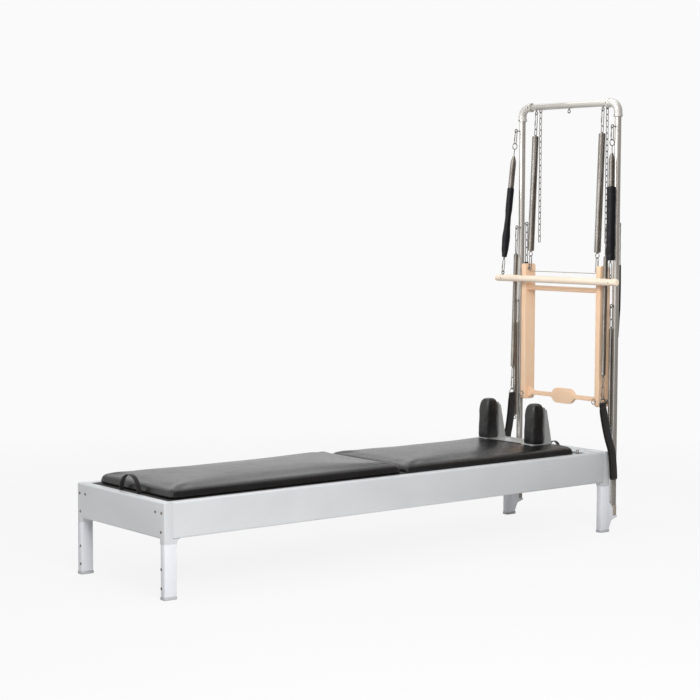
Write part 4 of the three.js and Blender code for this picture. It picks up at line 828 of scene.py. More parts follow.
def barSpring(side, sign):
    top = underEye("BarSpringEye", sign)
    bottom = at(rollBar["x"], sign * rollBar["eyeY"], barEyeZ + eye["ring"])
    made = barCoil
    ringTop = linkDrop - hook["length"] + hook["wire"] + endRing["wire"] - bite
    ringEnd = ringTop - 2 * made["ring"]
    coilTop = ringEnd - made["stem"]
    lowHookTop = lowerHook(top, bottom)
    sleeveEnd = lowHookTop + endRing["radius"]
    sleeveTop = sleeveEnd + sleeve["long"]
    coilEnd = sleeveTop - made["inSleeve"]
    stemEnds = [(0, 0, (ringEnd - sink) / 1000), (0, 0, (coilTop - made["stemEnd"]) / 1000)]
    stem = roundBar(*stemEnds, made["stemWire"] / 1000, 12, 0)
    coreEnds = [(0, 0, (coilEnd + made["coreOver"]) / 1000), (0, 0, (lowHookTop + sink) / 1000)]
    core = roundBar(*coreEnds, made["core"] / 1000, 16, 0.001)
    parts = [
        snap(linkDrop),
        plainRing(ringTop, made["ring"], 2 * made["ring"], crossed=True),
        finishOf(stem),
        coil(made, coilTop, coilEnd),
        finishOf(core),
        snap(lowHookTop),
    ]
    piece = hangSpring(side, "Bar", parts, top, bottom)
    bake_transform(piece)
    coverSleeve(side, top, bottom, sleeveTop, sleeveEnd)


sleeve = {
    "radius": 22.5, "under": 0.9, "bore": 16, "mouth": 2.2, "hem": 0.5, "long": 345, "rows": 96, "sides": 44,
    "pinch": {"place": 0.86, "reach": 0.12, "deep": 1.5},
}
sleeveEdge = {  # the far sleeve hangs flattened, edge on
    "turn": -0.67, "cloth": 0.0012,
    "places": (0, 0.3, 0.42, 0.55, 0.72, 0.86, 1),
    "reach": (17.2, 17.2, 14.5, 16.0, 20.0, 18.0, 12.5),
}


def eased(share):
    return share * share * (3 - 2 * share)


def edgeReach(share):  # half the flattened sleeve's width at a share of its length
    places, reach = sleeveEdge["places"], sleeveEdge["reach"]
    i = max(k for k in range(len(places) - 1) if places[k] <= share)
    step = (share - places[i]) / (places[i + 1] - places[i])
    return reach[i] + (reach[i + 1] - reach[i]) * eased(step)


def sleeveSlack(share, angle, phase):  # how far the cloth stands off its even tube
    pinch = sleeve["pinch"]
    slack = 0.35 * math.sin(2 * angle + 9 * share + phase[0])
    slack += 0.3 * math.sin(3 * angle - 21 * share + phase[1])
    slack += 0.22 * math.sin(37 * share + angle + phase[2])
    near = max(0.0, 1 - abs(share - pinch["place"]) / pinch["reach"])
    fold = max(0.0, math.cos(angle + 40 * (share - pinch["place"]) + phase[3])) ** 3
    return slack - pinch["deep"] * near * fold


def coverSleeve(side, top, bottom, topZ, endZ):  # a cloth tube, slightly slack, with hemmed mouths
    points = []
    rows, sides = sleeve["rows"], sleeve["sides"]
    even = sleeve["radius"] - sleeve["under"]
    wave = random.Random(7)
    phase = [wave.random() * math.tau for _ in range(4)]
    for i in range(rows + 1):
        share = i / rows
        z = topZ - (topZ - endZ) * share
        mouth = min(share, 1 - share) * (topZ - endZ)
        hem = sleeve["hem"] if 4 < mouth < 8 else 0.0
        roll = sleeve["mouth"] * max(0.0, 1 - mouth / sleeve["mouth"]) ** 2
        for k in range(sides):
            angle = math.tau * k / sides
            r = even + sleeveSlack(share, angle, phase) * min(1, mouth / 20) - hem - roll
            if side == "far":
                r += (edgeReach(share) - roll - r) * abs(math.cos(angle - sleeveEdge["turn"])) ** 1.5
            points.append(Vector((r * math.cos(angle), r * math.sin(angle), z)) / 1000)
    piece = meshOf(points, tubeFaces(rows, sides, len(points)))
    wall = piece.modifiers.new("wall", "SOLIDIFY")
    thick = (even - sleeve["bore"]) / 1000 - 0.001
    wall.thickness, wall.offset = sleeveEdge["cloth"] if side == "far" else thick, -1
    applyAll(piece)
    smooth(piece)
    hang(piece, top, bottom)
    settle(piece, side + "BarSleeve", "sleeveCloth", None, side + "_bar_sleeve")
    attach(piece, "bar_hangers")


lowCoil = {
    "endZ": 480, "link": 40, "radius": 10.5, "wire": 1.1, "cones": (8, 8),
    "ring": 8, "ringWire": 2, "sink": 1.6,
}


def lowSpring(side, sign):
    made, top = lowCoil, underEye("LowSpringEye", sign)
    bottom = Vector((top.x, top.y, made["endZ"] / 1000))
    length = (bottom - top).length * 1000
    parts, coilTop = hookAndLink(hook["half"], made["link"])
    ringTop = 2 * made["ring"] - length
    parts += [
        coil(made, coilTop, ringTop + made["sink"]),
        plainRing(ringTop, made["ring"], 2 * made["ring"], made["ringWire"]),
    ]
    hangSpring(side, "Low", parts, top, bottom, side + "_low_spring")


loopRing = {"x": 2472, "inset": 28, "z": 612, "rise": 26, "wire": 2.5}  # between a leg spring and its loop
legCoil = {"linkHalf": 5, "topLink": 66, "endLink": 52, "radius": 12, "wire": 1.2, "cones": (10, 10)}


def legSpring(side, sign):
    made, top = legCoil, underEye("LegSpringEye", sign)
    bottom = at(loopRing["x"], inside(sign, loopRing["inset"]), loopRing["z"] + loopRing["rise"])
    parts, coilTop = hookAndLink(made["linkHalf"], made["topLink"])
    lowHookTop = lowerHook(top, bottom)
    endLinkTop = lowHookTop + made["endLink"] - 2 * hook["wire"] + bite
    parts += [
        coil(made, coilTop, endLinkTop + sink),
        plainRing(endLinkTop, made["linkHalf"], made["endLink"], crossed=True),
        snap(lowHookTop),
    ]
    hangSpring(side, "Leg", parts, top, bottom, "frame")


carriageCoil = {
    "startX": 195.3, "endX": 1289.7, "y": 90, "z": 351, "radius": 12, "wire": 1.5, "cones": (14, 14),
    "hook": {"half": 6, "length": 28, "wire": 1.8}, "over": 1.2, "coilIn": 26,
}


def carriageSpring(side, sign):
    made = carriageCoil
    top, bottom = (at(made[end], sign * made["y"], made["z"]) for end in ("startX", "endX"))
    length = (bottom - top).length * 1000
    parts = [
        plainRing(made["over"], **made["hook"]),
        coil(made, -made["coilIn"], made["coilIn"] - length, 10, 5),
        plainRing(made["hook"]["length"] - made["over"] - length, **made["hook"]),
    ]
    piece = hangSpring(side, "Carriage", parts, top, bottom)
    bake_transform(piece)


def linksUnder(top, topZ, count, pitch, shape, detail):  # oval links, every other one turned
    parts = [longRing(topZ - pitch * i, *shape, i % 2 == 1, *detail) for i in range(count)]
    return turned(finishOf(joined(*parts)), Matrix.Translation(top))


chainMade = {"links": 22, "long": 640.0, "half": 6.2, "over": 4, "wire": 1.9}


def chain(side, sign):
    made, tilt = chainMade, hangers["chainTilt"]
    pitch = made["long"] / made["links"]
    x = tower["x"] + tubeReach * math.sin(tilt)
    z = tower["topZ"] - tubeReach * math.cos(tilt) - eye["ring"]
    top = at(x, sign * hangers["y"] - hangers["chainShift"], z)
    shape = (made["half"], pitch + made["over"], made["wire"])
    piece = linksUnder(top, linkDrop - slack, made["links"], pitch, shape, (6, 1))
    settle(piece, side + "Chain", None, side + "_chain", side + "_chain")


for side, sign in sideNames:
    frameSpring(side, sign)
    barSpring(side, sign)
    lowSpring(side, sign)
    legSpring(side, sign)
    carriageSpring(side, sign)
    chain(side, sign)
print("springs and chains hung")

# straps, loops and webbing
def strapProfile(width, thick, edge, steps=7):
    side = []
    for i in range(steps + 1):
        share = 2 * i / steps - 1
        side.append((share * width / 2, edge / 2 + (thick - edge) / 2 * (1 - abs(share) ** 4)))
    return side + [(a, -h) for a, h in reversed(side)]


def strapAlong(line, across, profile, closed=False, widths=None, thins=None):
    across = Vector(across).normalized()
    points, marks = [], []
    count, ring = len(line), len(profile)
    run = 0.0
    for i, spot in enumerate(line):
        before = line[i - 1] if i or closed else line[0]
        after = line[(i + 1) % count] if i < count - 1 or closed else line[-1]
        out = (after - before).normalized().cross(across).normalized()
        if i:
            run += (spot - line[i - 1]).length
        wide = widths[i] if widths else 1.0
        thin = thins[i] if thins else 1.0
        for a, h in profile:
            points.append(spot + across * a * wide / 1000 + out * h * thin / 1000)
            marks.append((run, a / 1000))
    faces = tubeFaces(count if closed else count - 1, ring, len(points))
    if not closed:
        faces += [tuple(range(ring))[::-1], tuple(range((count - 1) * ring, count * ring))]
    piece = meshOf(points, faces)
    inEdit(piece, faceOut)
    layer = piece.data.uv_layers.new(name="cloth")
    for corner in piece.data.loops:
        layer.data[corner.index].uv = marks[corner.vertex_index]
    return smooth(piece, 50)


def curveThrough(knots, shares):  # a smooth line through points
    found = []
    last = len(knots) - 1
    for share in shares:
        place = min(max(share, 0.0), 1.0) * last
        i = min(int(place), last - 1)
        t = place - i
        p = [knots[max(0, min(last, i + d))] for d in (-1, 0, 1, 2)]
        if i == 0:
            p[0] = 2 * p[1] - p[2]
        if i == last - 1:
            p[3] = 2 * p[2] - p[1]
        bend = (2 * p[0] - 5 * p[1] + 4 * p[2] - p[3]) * t * t
        swing = (3 * p[1] - p[0] - 3 * p[2] + p[3]) * t ** 3
        found.append(0.5 * ((2 * p[1]) + (p[2] - p[0]) * t + bend + swing))
    return found


ringShape = (
    (-15.5, 0), (15.5, 0), (17, 1.5), (17, 10), (14.5, 18), (9, 24),
    (3, 26), (-3, 26), (-9, 24), (-14.5, 18), (-17, 10), (-17, 1.5),
)
loopStrap = {
    "drops": (0, 0.14, 0.31, 0.47, 0.61, 0.8, 1),
    "sways": (0, 0.1, 0.3, 0.56, 0.84, 0.97, 1),
    "endZ": 251, "endInset": {"near": -34, "far": -22}, "lean": 0.045,
    "width": 34, "thick": 7.4, "edge": 3.2,
    "half": 7.4, "topHalf": 4.4, "open": (14, 26),  # half the gap between the layers, and where it opens
    "steps": 40, "bendSteps": 12, "crestSteps": 8, "crest": 0.0052, "bend": 11.4, "topThin": 0.55,
}


def outward(step, sideways):
    out = step.normalized().cross(Vector((1, 0, 0)))
    return out if out.dot(sideways) > 0 else -out


def paddedLoop(side, sign):
    made, steps = loopStrap, loopStrap["steps"]
    drop, sway = loopRing["z"] - made["endZ"], loopRing["inset"] - made["endInset"][side]
    knots = []
    for share, swing in zip(made["drops"], made["sways"]):
        x, z = loopRing["x"] + made["lean"] * drop * share, loopRing["z"] - drop * share
        knots.append(at(x, inside(sign, loopRing["inset"] - sway * swing), z))
    endShare = 1 - made["bend"] / drop
    middle = curveThrough(knots, [endShare * i / steps for i in range(steps + 1)])
    sideways = Vector((0, sign, 0))
    outer, inner, thins = [], [], []
    for i, spot in enumerate(middle):
        out = outward(middle[min(i + 1, steps)] - middle[max(i - 1, 0)], sideways)
        low = loopRing["z"] - spot.z * 1000
        near = min(1.0, max(0.0, (low - made["open"][0]) / made["open"][1]))
        gap = made["topHalf"] + (made["half"] - made["topHalf"]) * eased(near)
        outer.append(spot + out * gap / 1000)
        inner.append(spot - out * gap / 1000)
        thins.append(made["topThin"] + (1 - made["topThin"]) * min(1.0, low / 30))
    down = (middle[-1] - middle[-2]).normalized()
    out = (outer[-1] - middle[-1]).normalized()
    bottom = []
    for step in range(1, made["bendSteps"]):
        angle = math.pi * step / made["bendSteps"]
        bottom.append(middle[-1] + (out * math.cos(angle) + down * math.sin(angle)) * made["half"] / 1000)
    crest = []
    for step in range(made["crestSteps"] + 1):
        angle = math.pi * step / made["crestSteps"]
        over = -sideways * math.cos(angle) + Vector((0, 0, 1)) * math.sin(angle)
        crest.append(middle[0] + over * made["crest"] + Vector((0, 0, 0.0002)))
    line = outer[1:] + bottom + inner[:0:-1] + crest
    thin = thins[1:] + [1.0] * len(bottom) + thins[:0:-1] + [0.5] * len(crest)
    profile = strapProfile(made["width"], made["thick"], made["edge"])
    strap = strapAlong(line, (1, 0, 0), profile, True, None, thin)
    ringCentre = at(loopRing["x"], inside(sign, loopRing["inset"]), loopRing["z"])
    ringLine = [ringCentre + Vector((x, 0, z)) / 1000 for x, z in ringShape]
    ring = wireAlong(ringLine, loopRing["wire"] / 1000, True, 3)
    stitches = seamRows([(outer, 1), (inner, -1)], sideways, made["width"])
    settle(strap, side + "LoopStrap", "webbingCloth", side + "_loop", side + "_padded_loop")
    settle(ring, side + "LoopRing", "brightWire", side + "_loop")
    settle(stitches, side + "LoopStitches", "threadBlack", side + "_loop")


stitch = {"inset": 3.4, "pitch": 0.0045, "ends": (0.2, 0.8), "lift": 0.0030, "half": 0.0004, "rise": 0.0007}


def seamRows(layers, sideways, width):  # two rows of stitches along each padded layer
    points, faces = [], []
    section = ((-stitch["half"], 0), (0, stitch["rise"]), (stitch["half"], 0))
    sideFaces = ((0, 1, 4, 3), (1, 2, 5, 4), (0, 2, 1), (3, 4, 5), (0, 3, 5, 2))
    for line, way in layers:
        for offset in (-width / 2 + stitch["inset"], width / 2 - stitch["inset"]):
            for i in range(4, len(line) - 1):
                start, step = line[i], line[i + 1] - line[i]
                count = max(1, int(step.length / stitch["pitch"]))
                out = outward(step, sideways) * way
                lift = out * stitch["lift"]
                for k in range(count):
                    base = len(points)
                    for end in stitch["ends"]:
                        spot = start + step * (k + end) / count
                        for x, h in section:
                            points.append(spot + Vector((offset / 1000 + x, 0, 0)) + lift + out * h)
                    faces += [tuple(base + corner for corner in face) for face in sideFaces]
    piece = meshOf(points, faces)
    inEdit(piece, faceOut)
    return piece


strapMade = {
    "links": 5, "pitch": 38, "link": (7, 42, 2.2),  # half as wide, long, wire
    "long": 345, "wide": 25, "thick": 4.6, "edge": 2.4, "steps": 46, "sway": 0.0012,
    "foldFrom": 0.6, "fold": 0.65,
}


def safetyStrap(side, sign):
    made, top = strapMade, underEye("StrapEye", sign)
    links = linksUnder(top, linkDrop, made["links"], made["pitch"], made["link"], (8, 2))
    settle(links, side + "StrapLinks", None, side + "_strap")
    strapTop = linkDrop - made["links"] * made["pitch"] + made["link"][2]
    line, widths = [], []
    for i in range(made["steps"] + 1):
        share = i / made["steps"]
        sway, z = made["sway"] * math.sin(share * 5.0), (strapTop - made["long"] * share) / 1000
        line.append(top + Vector((sway, 0, z)))
        past = (share - made["foldFrom"]) / (1 - made["foldFrom"])
        widths.append(1.0 - made["fold"] * max(0.0, past))
    profile = strapProfile(made["wide"], made["thick"], made["edge"])
    strap = strapAlong(line, (0, 1, 0), profile, False, widths)
    settle(strap, side + "SafetyStrap", "webbingCloth", side + "_strap", side + "_safety_strap")


archStraps = {
    "pullLoop": {"x": 51.7, "z": 384.6, "span": 140, "rise": 72, "body": "mat", "stands": "mat_pull_loop"},
    "headLoop": {"x": 2462, "z": 374, "span": 66, "rise": 32, "body": "frame", "stands": None},
}
archBand = {"width": 20, "thick": 3, "steps": 36}


def archStrap(name, made):
    width, thick, steps = archBand.values()
    body = made["body"]
    line = []
    for i in range(steps + 1):
        angle = math.pi * i / steps
        y, up = (made["span"] - thick) / 2 * math.cos(angle), (made["rise"] - thick / 2) * math.sin(angle)
        line.append(at(made["x"], y, made["z"] + up))
    line[0].z += 0.0001
    line[-1].z += 0.0001
    strap = strapAlong(line, (1, 0, 0), strapProfile(width, thick, thick * 0.7))
    settle(strap, name, "webbingCloth", body, made["stands"])


for side, sign in sideNames:
    paddedLoop(side, sign)
    safetyStrap(side, sign)
print("straps sewn")

# wooden push-through frame and roll-down bar
board = {
    "x": 2488, "depth": 70, "thick": 28, "low": 590, "high": 1265, "corner": 12, "edge": 2.2, "inset": 85,
    "seat": 0.3, "screws": ((24, 1146), (46, 1146), (35, 640)),
}
boardMiddleX = board["x"] + board["depth"] / 2
railHalf = frameHalf - board["inset"] - board["thick"] / 2 - board["seat"]
pivot = {
    "x": tower["x"], "z": 617, "pin": 6, "pinIn": 15.5, "knob": 11, "knobLong": 14, "grip": 0.0105,
    "groove": 0.0006, "ridges": 36,
}
pullRing = {"ahead": 12, "inward": 7, "radius": 12, "wire": 2.2}
bushShape = ((0.0064, 0), (0.0105, 0), (0.0105, 0.00012), (0.0098, 0.000192), (0.0064, 0.000192))


def woodBoard(side, sign):
    y = inside(sign, board["inset"])
    size = (board["depth"] / 1000, board["thick"] / 1000, (board["high"] - board["low"]) / 1000)
    plank = blockOf(size, at(boardMiddleX, y, (board["low"] + board["high"]) / 2))
    roundAcross(plank, board["corner"] / 1000, 7)
    soften(plank, board["edge"] / 1000, 3, 50)
    smooth(plank, 35)
    settle(plank, side + "Board", "mapleWoodZ", "push_frame", side + "_board")
    eyeSpot = at(boardEye["x"], sign * boardEye["y"], boardEye["z"])
    inner = at(boardEye["x"], y - sign * board["thick"] / 2, boardEye["z"])
    eyeBolt(side + "BoardEye", eyeSpot, inner, "push_frame", facing=(1, 0, 0))
    ringY = y - sign * pullRing["inward"]
    ringEnds = [at(board["x"] - reach, ringY, pivot["z"]) for reach in (pullRing["ahead"], 0)]
    eyeBolt(side + "BoardRing", *ringEnds, "push_frame", pullRing["radius"], pullRing["wire"])
    outer = y + sign * board["thick"] / 2
    piece = lathe(bushShape, at(pivot["x"], outer, pivot["z"]), (0, sign, 0), 32)
    settle(piece, side + "Bush", "brightWire", "push_frame")
    for number, (ahead, z) in enumerate(board["screws"]):
        place = at(board["x"] + ahead, outer, z)
        screw(f"{side}BoardScrew{number}", place, (0, sign, 0), "push_frame", 0.8)


def pivotPin(side, sign):
    def spot(inset):
        return at(pivot["x"], inside(sign, inset), pivot["z"])

    outer, inner = tower["inset"] + pivot["pinIn"], board["inset"] + board["thick"] / 2 - board["seat"]
    pin = roundBar(spot(outer), spot(inner), pivot["pin"] / 1000, 24, 0.0008)
    bore, r, long = pivot["pin"] / 1000, pivot["knob"] / 1000, pivot["knobLong"] / 1000
    profile = [(bore, 0), (r * 0.86, 0), (r, 0.0015), (r, long - 0.0015), (r * 0.86, long), (bore, long)]
    knobFoot = spot(board["inset"] - board["thick"] / 2 - board["seat"])
    knob = lathe(profile, knobFoot, (0, sign, 0), pivot["ridges"])
    for point in knob.data.vertices:  # grip ridges round the knob
        local = point.co - spot(board["inset"])
        away = Vector((local.x, 0, local.z))
        if away.length > pivot["grip"]:
            ridge = round(math.atan2(away.z, away.x) / math.tau * pivot["ridges"])
            point.co -= away.normalized() * pivot["groove"] * (ridge % 2)
    settle(joined(pin, knob), side + "PivotPin", "brightWire", "frame")


crossBar = {"z": 1146, "deep": 0.045, "tall": 0.023, "edge": 0.005}


def upperRail():
    size = (crossBar["deep"], 2 * railHalf / 1000, crossBar["tall"])
    rail = blockOf(size, at(boardMiddleX, 0, crossBar["z"]))
    roundAcross(rail, crossBar["edge"], 5)
    smooth(rail, 35)
    settle(rail, "upperRail", "mapleWoodY", "push_frame", "upper_rail")


paddle = {
    "neck": 10, "end": 32, "tall": 36.5, "halfLong": 76, "flare": 42, "shoulder": 12, "thick": 22, "z": 623,
    "edge": 3.5,
}


def bowed(a, b, c, steps=9):  # points of a curve from a to c, drawn towards b
    found = []
    for i in range(steps + 1):
        t = i / steps
        found.append(tuple((1 - t) ** 2 * p + 2 * t * (1 - t) * q + t * t * r for p, q, r in zip(a, b, c)))
    return found


def lowerRail():
    neck, end, tall, wide = paddle["neck"], paddle["end"], paddle["tall"], paddle["halfLong"]
    flare, corner = paddle["flare"], paddle["shoulder"]
    edge = bowed((-railHalf, end), (-railHalf + flare / 4, neck), (-railHalf + flare, neck))
    shoulder = (-wide + corner, tall - corner)
    edge += bowed((-wide - neck, neck), (-wide + neck * 0.2, neck), shoulder)
    edge += bowed(shoulder, (-wide + 1.9 * corner, tall), (-wide + 3.4 * corner, tall))[1:]
    edge += [(-y, z) for y, z in reversed(edge)]
    outline = edge + [(y, -z) for y, z in reversed(edge)]
    x0, x1 = boardMiddleX - paddle["thick"] / 2, boardMiddleX + paddle["thick"] / 2
    points = [at(x0, y, paddle["z"] + z) for y, z in outline]
    rail = meshOf(points, [tuple(range(len(points)))])
    push = {"value": ((x1 - x0) / 1000, 0, 0)}
    inEdit(rail, lambda: bpy.ops.mesh.extrude_region_move(TRANSFORM_OT_translate=push))
    inEdit(rail, weldPoints(), faceOut)
    soften(rail, paddle["edge"] / 1000, 4, 55)
    smooth(rail, 40)
    settle(rail, "lowerRail", "mapleWoodY", "push_frame", "lower_rail")


def rollDownBar():
    made = rollBar
    r, half, soft = made["radius"] / 1000, made["half"] / 1000, made["soft"] / 1000
    arc = [(r - soft + soft * math.sin(a), -half + soft - soft * math.cos(a)) for a in
           (math.pi / 2 * i / 6 for i in range(7))]
    profile = [(0, -half)] + arc
    profile += [(p, -h) for p, h in reversed(profile)]
    bar = lathe(profile, at(made["x"], 0, made["z"]), (0, 1, 0), 48)
    settle(bar, "rollDownBar", "paleMapleY", "roll_bar", "roll_down_bar")
    for side, sign in sideNames:
        y = sign * made["eyeY"]
        foot = at(made["x"], y, made["z"] + made["radius"] - 0.3)
        eyeBolt(side + "BarEye", at(made["x"], y, barEyeZ), foot, "roll_bar")
        place = at(made["x"] - made["radius"] + 0.2, y, made["z"])
        screw(side + "BarScrew", place, (-1, 0, 0), "roll_bar", 0.45)


stayWire = {"x": 2517, "z": 1228, "radius": 0.0016, "sink": 0.5}


def crossWire():  # thin stay between the two boards
    ends = [at(stayWire["x"], sign * (railHalf + stayWire["sink"]), stayWire["z"]) for sign in (-1, 1)]
    wire = roundBar(ends[0], ends[1], stayWire["radius"], 12, 0)
    settle(wire, "crossWire", "springSteel", "push_frame")


for side, sign in sideNames:
    woodBoard(side, sign)
    pivotPin(side, sign)
crossWire()
upperRail()
lowerRail()
rollDownBar()
print("wooden frame fitted")

# carriage, mat board and shoulder rests
dressNode("mat_board", "matDeck", "blackPly", "mat", 0.001)
dressNode("carriage_platform", "carriageDeck", "satinPlate", "carriage", 0.0008)
dressNode("shoulder_rest_bracket", "restBracket", "satinPlate", "shoulder_rests", 0.0007)
wheelShape = (
    (6.6, -10), (32, -10), (32, -4.6), (31.2, -4.2), (28.2, -2.4), (28, 0), (28.2, 2.4), (31.2, 4.2),
    (32, 4.6), (32, 10), (28, 10), (24.5, 6), (14.5, 6), (11, 10), (6.6, 10), (6.6, -10),
)
wheels = {"front": 1400, "rear": 2240, "y": 280.7, "z": 323.8}
for end in ("front", "rear"):
    for side, sign in sideNames:
        wheel = lathe(metres(wheelShape), at(wheels[end], sign * wheels["y"], wheels["z"]), (0, 1, 0), 40)
        node = f"{end}_{side}_wheel"
        settle(wheel, end + side.title() + "Wheel", "tyrePlastic", node, node)
ropeEye = {"x": 2350, "y": 267, "z": 389, "footZ": 376.2, "ring": 8.0, "wire": 2.65}
restScrew = {"x": 2192.4, "y": 158, "heights": (470, 560), "size": 1.1}
for side, sign in sideNames:
    ends = [at(ropeEye["x"], sign * ropeEye["y"], ropeEye[key]) for key in ("z", "footZ")]
    eyeBolt(side + "RopeEye", *ends, "carriage", ropeEye["ring"], ropeEye["wire"])
    for number, z in enumerate(restScrew["heights"]):
        place = at(restScrew["x"], sign * restScrew["y"], z)
        screw(f"{side}RestScrew{number}", place, (1, 0, 0), "shoulder_rests", restScrew["size"])
# a thin black strip set where the rest plate's front edge casts shade: painted shade, not a real part
shadeStrip = {"x": 2124.0, "half": 118.0, "low": 426.3, "high": 432.0, "thick": 2.4}


def plateShadeStrip():  # painted shade: a black strip along the rest plate's front edge, standing for the shadow under that edge
    size = Vector((shadeStrip["thick"], 2 * shadeStrip["half"], shadeStrip["high"] - shadeStrip["low"])) / 1000
    strip = blockOf(size, at(shadeStrip["x"], 0, (shadeStrip["low"] + shadeStrip["high"]) / 2))
    soften(strip, 0.0009, 3, 50)
    smooth(strip, 40)
    settle(strip, "restShadeStrip", "tyrePlastic", "shoulder_rests")


plateShadeStrip()
for name, made in archStraps.items():
    archStrap(name, made)
print("carriage dressed")

# padded pieces: the solid's shape, filled by a cloth simulation
padStuffing = {"pressure": 4.0, "frames": 20, "shrink": 0.0022, "held": 0.006, "quality": 5}
cornerFold = {
    "radius": 0.034, "places": (-0.46, -0.02, 0.44), "width": 0.15, "depth": 0.0026, "puff": 0.0009,
    "top": 0.92, "fade": 0.35,
}
padFoot = {"front": 0.03, "forward": 0.0102, "tall": 0.012, "drop": 0.0042}
matPad = {"voxel": 0.008, "cap": 0.0055, "fill": 0.85, "folds": True, "ease": 4, "foot": False}
restPad = {"voxel": 0.004, "cap": 0.0028, "fill": 0.8, "folds": False, "ease": 16, "foot": True}
padPieces = {
    "front_mat": {"name": "frontMat", "body": "mat", **matPad},
    "carriage_pad": {"name": "carriagePad", "body": "carriage", **matPad},
    "near_shoulder_pad": {"name": "nearShoulderPad", "body": "shoulder_rests", **restPad},
    "far_shoulder_pad": {"name": "farShoulderPad", "body": "shoulder_rests", **restPad},
}


def fillPad(piece, made):
    start = [point.co.copy() for point in piece.data.vertices]
    base = min(point.z for point in start)
    held = piece.vertex_groups.new(name="held")
    held.add([i for i, point in enumerate(start) if point.z < base + padStuffing["held"]], 1.0, "REPLACE")
    choose(piece)
    cloth = piece.modifiers.new("filling", "CLOTH")
    cloth.settings.use_pressure = True
    cloth.settings.uniform_pressure_force = padStuffing["pressure"]
    cloth.settings.effector_weights.gravity = 0
    cloth.settings.vertex_group_mass = "held"
    cloth.settings.quality = padStuffing["quality"]
    cloth.collision_settings.use_collision = False
    cloth.point_cache.frame_start, cloth.point_cache.frame_end = 1, padStuffing["frames"]
    for number in range(1, padStuffing["frames"] + 1):
        scene.frame_set(number)
    ready = piece.evaluated_get(bpy.context.evaluated_depsgraph_get())
    moved = [point.co.copy() for point in ready.data.vertices]
    piece.modifiers.remove(cloth)
    for point, old, new in zip(piece.data.vertices, start, moved):
        step = new - old
        if step.length > made["cap"]:
            step = step.normalized() * made["cap"]
        point.co = old + step
    scene.frame_set(1)


def foldCorners(piece, low, high):  # the cover is gathered round each upright corner
    fold = cornerFold
    middle = (low + high) / 2
    for point in piece.data.vertices:
        x, y = point.co.x - middle.x, point.co.y - middle.y
        over = abs(x) - (high.x - middle.x - fold["radius"]), abs(y) - (high.y - middle.y - fold["radius"])
        if min(over) < 0:
            continue
        turn = math.atan2(over[1], over[0]) - math.pi / 4
        away = Vector((math.copysign(over[0], x), math.copysign(over[1], y), 0))
        share = (point.co.z - low.z) / (high.z - low.z)
        amount = max(0.0, min(1.0, (fold["top"] - share) / fold["fade"]))
        amount *= min(1.0, away.length / fold["radius"])
        crease = sum(math.exp(-((turn - place) / fold["width"]) ** 2) for place in fold["places"])
        point.co -= away.normalized() * amount * (crease * fold["depth"] - fold["puff"])


def upholster(node, made):
    piece = copyOf(node)
    low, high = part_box(node)
    middle = (low + high) / 2
    for point in piece.data.vertices:
        for i in range(3):
            half = (high[i] - low[i]) / 2
            if i < 2 or point.co[i] > middle[i]:
                point.co[i] = middle[i] + (point.co[i] - middle[i]) * (1 - padStuffing["shrink"] / half)
    remesh = piece.modifiers.new("skin", "REMESH")
    remesh.mode, remesh.voxel_size = "VOXEL", made["voxel"]
    applyAll(piece)
    fillPad(piece, made)
    ease = piece.modifiers.new("ease", "SMOOTH")
    ease.factor, ease.iterations = 0.5, made["ease"]
    finer = piece.modifiers.new("finer", "SUBSURF")
    finer.levels = finer.render_levels = 1
    applyAll(piece)
    if made["folds"]:
        foldCorners(piece, low, high)
    for point in piece.data.vertices:  # the underside stays on what carries it
        point.co.z = max(point.co.z, low.z)
        if made["foot"]:  # the front leans out a little, so that its foot laps over the plate's edge
            front = max(0.0, min(1.0, (middle.x - point.co.x) / padFoot["front"]))
            point.co.x -= padFoot["forward"] * front * (high.z - point.co.z) / (high.z - low.z)
            point.co.z -= padFoot["drop"] * max(0.0, 1 - (point.co.z - low.z) / padFoot["tall"])
    smooth(piece)
    settle(piece, made["name"], "padVinyl", made["body"], node)


for node, made in padPieces.items():
    upholster(node, made)
    print("pad filled:", node)

# floor, lamps and sky
studio = {
    "paper": (0.956, 0.956, 0.956), "ground": (0.62, 0.61, 0.60), "sky": (0.97, 0.985, 1.0),
    "ceiling": (0.70, 0.70, 0.70), "ceilingFrom": 0.75, "fill": 0.45, "shadow": 0.09, "reach": (2.6, 4.6),
    "gloss": 0.72,
}
floor = basic("plane", size=80, location=(0, 0, 0))
floor.name = "floor"
ground = bpy.data.materials.new("floorPaper")
ground.use_nodes = True
paint = Paint(ground.node_tree)
seen, glossy = (paint.node("LightPath", out=f"Is {ray} Ray") for ray in ("Camera", "Glossy"))
spot = paint.node("TexCoord", out="Object")
away = paint.node("VectorMath", {0: spot}, "Value", operation="LENGTH")
shadowed = paint.level(away, *studio["reach"], studio["shadow"], 0.0)  # only round the feet
paperLit = paint.shader("BsdfDiffuse", studio["ground"])
paperGlow = paint.shader("Emission", studio["paper"], Strength=1.0)
paperSoft = paint.shader("BsdfDiffuse", (1.0, 1.0, 1.0))
paperSeen = paint.choice(shadowed, paperGlow, paperSoft)

# a bright room with one dark side, as polished metal shows it, by compass bearing in degrees
room = (
    (-180, (1.0, 0.985, 0.96)), (-143, (1.0, 0.985, 0.96)), (-129, (0.30, 0.265, 0.23)),
    (-100, (0.17, 0.145, 0.125)), (-36, (0.15, 0.13, 0.115)), (-12, (0.40, 0.38, 0.35)),
    (20, (0.80, 0.79, 0.78)), (41, (0.50, 0.50, 0.50)),
    (50, (1.0, 1.0, 1.0)), (88, (0.97, 0.97, 0.97)), (100, (0.62, 0.61, 0.60)), (128, (0.74, 0.72, 0.70)),
    (150, (1.0, 0.985, 0.96)), (180, (1.0, 0.985, 0.96)),
)
roomStops = tuple(((turn + 180) / 360, colour) for turn, colour in room)


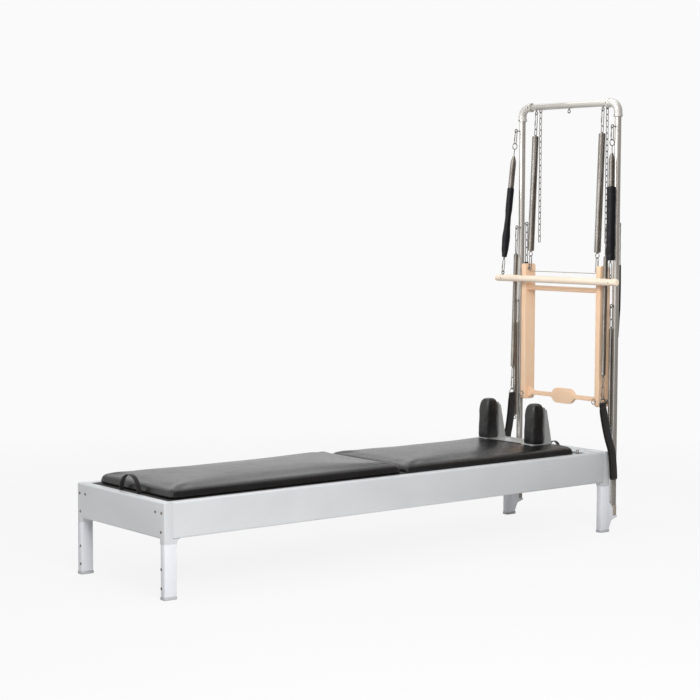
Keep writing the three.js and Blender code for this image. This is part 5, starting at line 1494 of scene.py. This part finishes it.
def wallsSeen(paint, way):  # the room's tone in a direction
    east, north = (paint.node("SeparateXYZ", {"Vector": way}, axis) for axis in "XY")
    bearing = paint.node("Math", {0: north, 1: east}, operation="ARCTAN2")
    return paint.ramp(paint.level(bearing, -math.pi, math.pi), *roomStops)


fromTower = paint.node("VectorMath", {0: spot, 1: at(frameLong, 0, 0)}, operation="SUBTRACT")
paperShine = paint.shader("Emission", wallsSeen(paint, fromTower), Strength=studio["gloss"])
paint.surface(paint.choice(seen, paint.choice(glossy, paperLit, paperShine), paperSeen))
floor.data.materials.append(ground)
sky = scene.world or bpy.data.worlds.new("studio")
scene.world = sky
sky.use_nodes = True
air = Paint(sky.node_tree)
seen, glossy = (air.node("LightPath", out=f"Is {ray} Ray") for ray in ("Camera", "Glossy"))
way = air.node("TexCoord", out="Generated")
height = air.node("SeparateXYZ", {"Vector": way}, "Z")
seenRoom = air.mix(air.level(height, studio["ceilingFrom"], 1.0), wallsSeen(air, way), studio["ceiling"])
soft = air.shader("Background", studio["sky"], Strength=studio["fill"])
shine = air.shader("Background", seenRoom, Strength=1.0)
paper = air.shader("Background", studio["paper"], Strength=1.0)
air.surface(air.choice(seen, air.choice(glossy, soft, shine), paper), "OutputWorld")

lamps = {
    "key": {"place": (-2.2, -4.2, 3.0), "aim": (0, 0, 0.5), "size": 2.6, "power": 170, "shines": False},
    "side": {"place": (-1.8, 0.3, 3.1), "aim": (1.25, 0, 1.6), "size": 1.6, "power": 4.2, "spread": 52},
    "top": {"place": (0.3, 1.0, 5.0), "aim": (0, 0, 0.4), "size": 3.5, "power": 32},
}
for name, made in lamps.items():
    bpy.ops.object.light_add(type="AREA", location=made["place"])
    light = bpy.context.object
    light.name = name
    light.data.size, light.data.energy = made["size"], made["power"]
    light.data.spread = math.radians(made.get("spread", 180))
    light.visible_glossy = made.get("shines", True)
    light.rotation_euler = (Vector(made["aim"]) - Vector(made["place"])).to_track_quat("-Z", "Y").to_euler()
scene.view_settings.view_transform = "Standard"
print("studio ready")
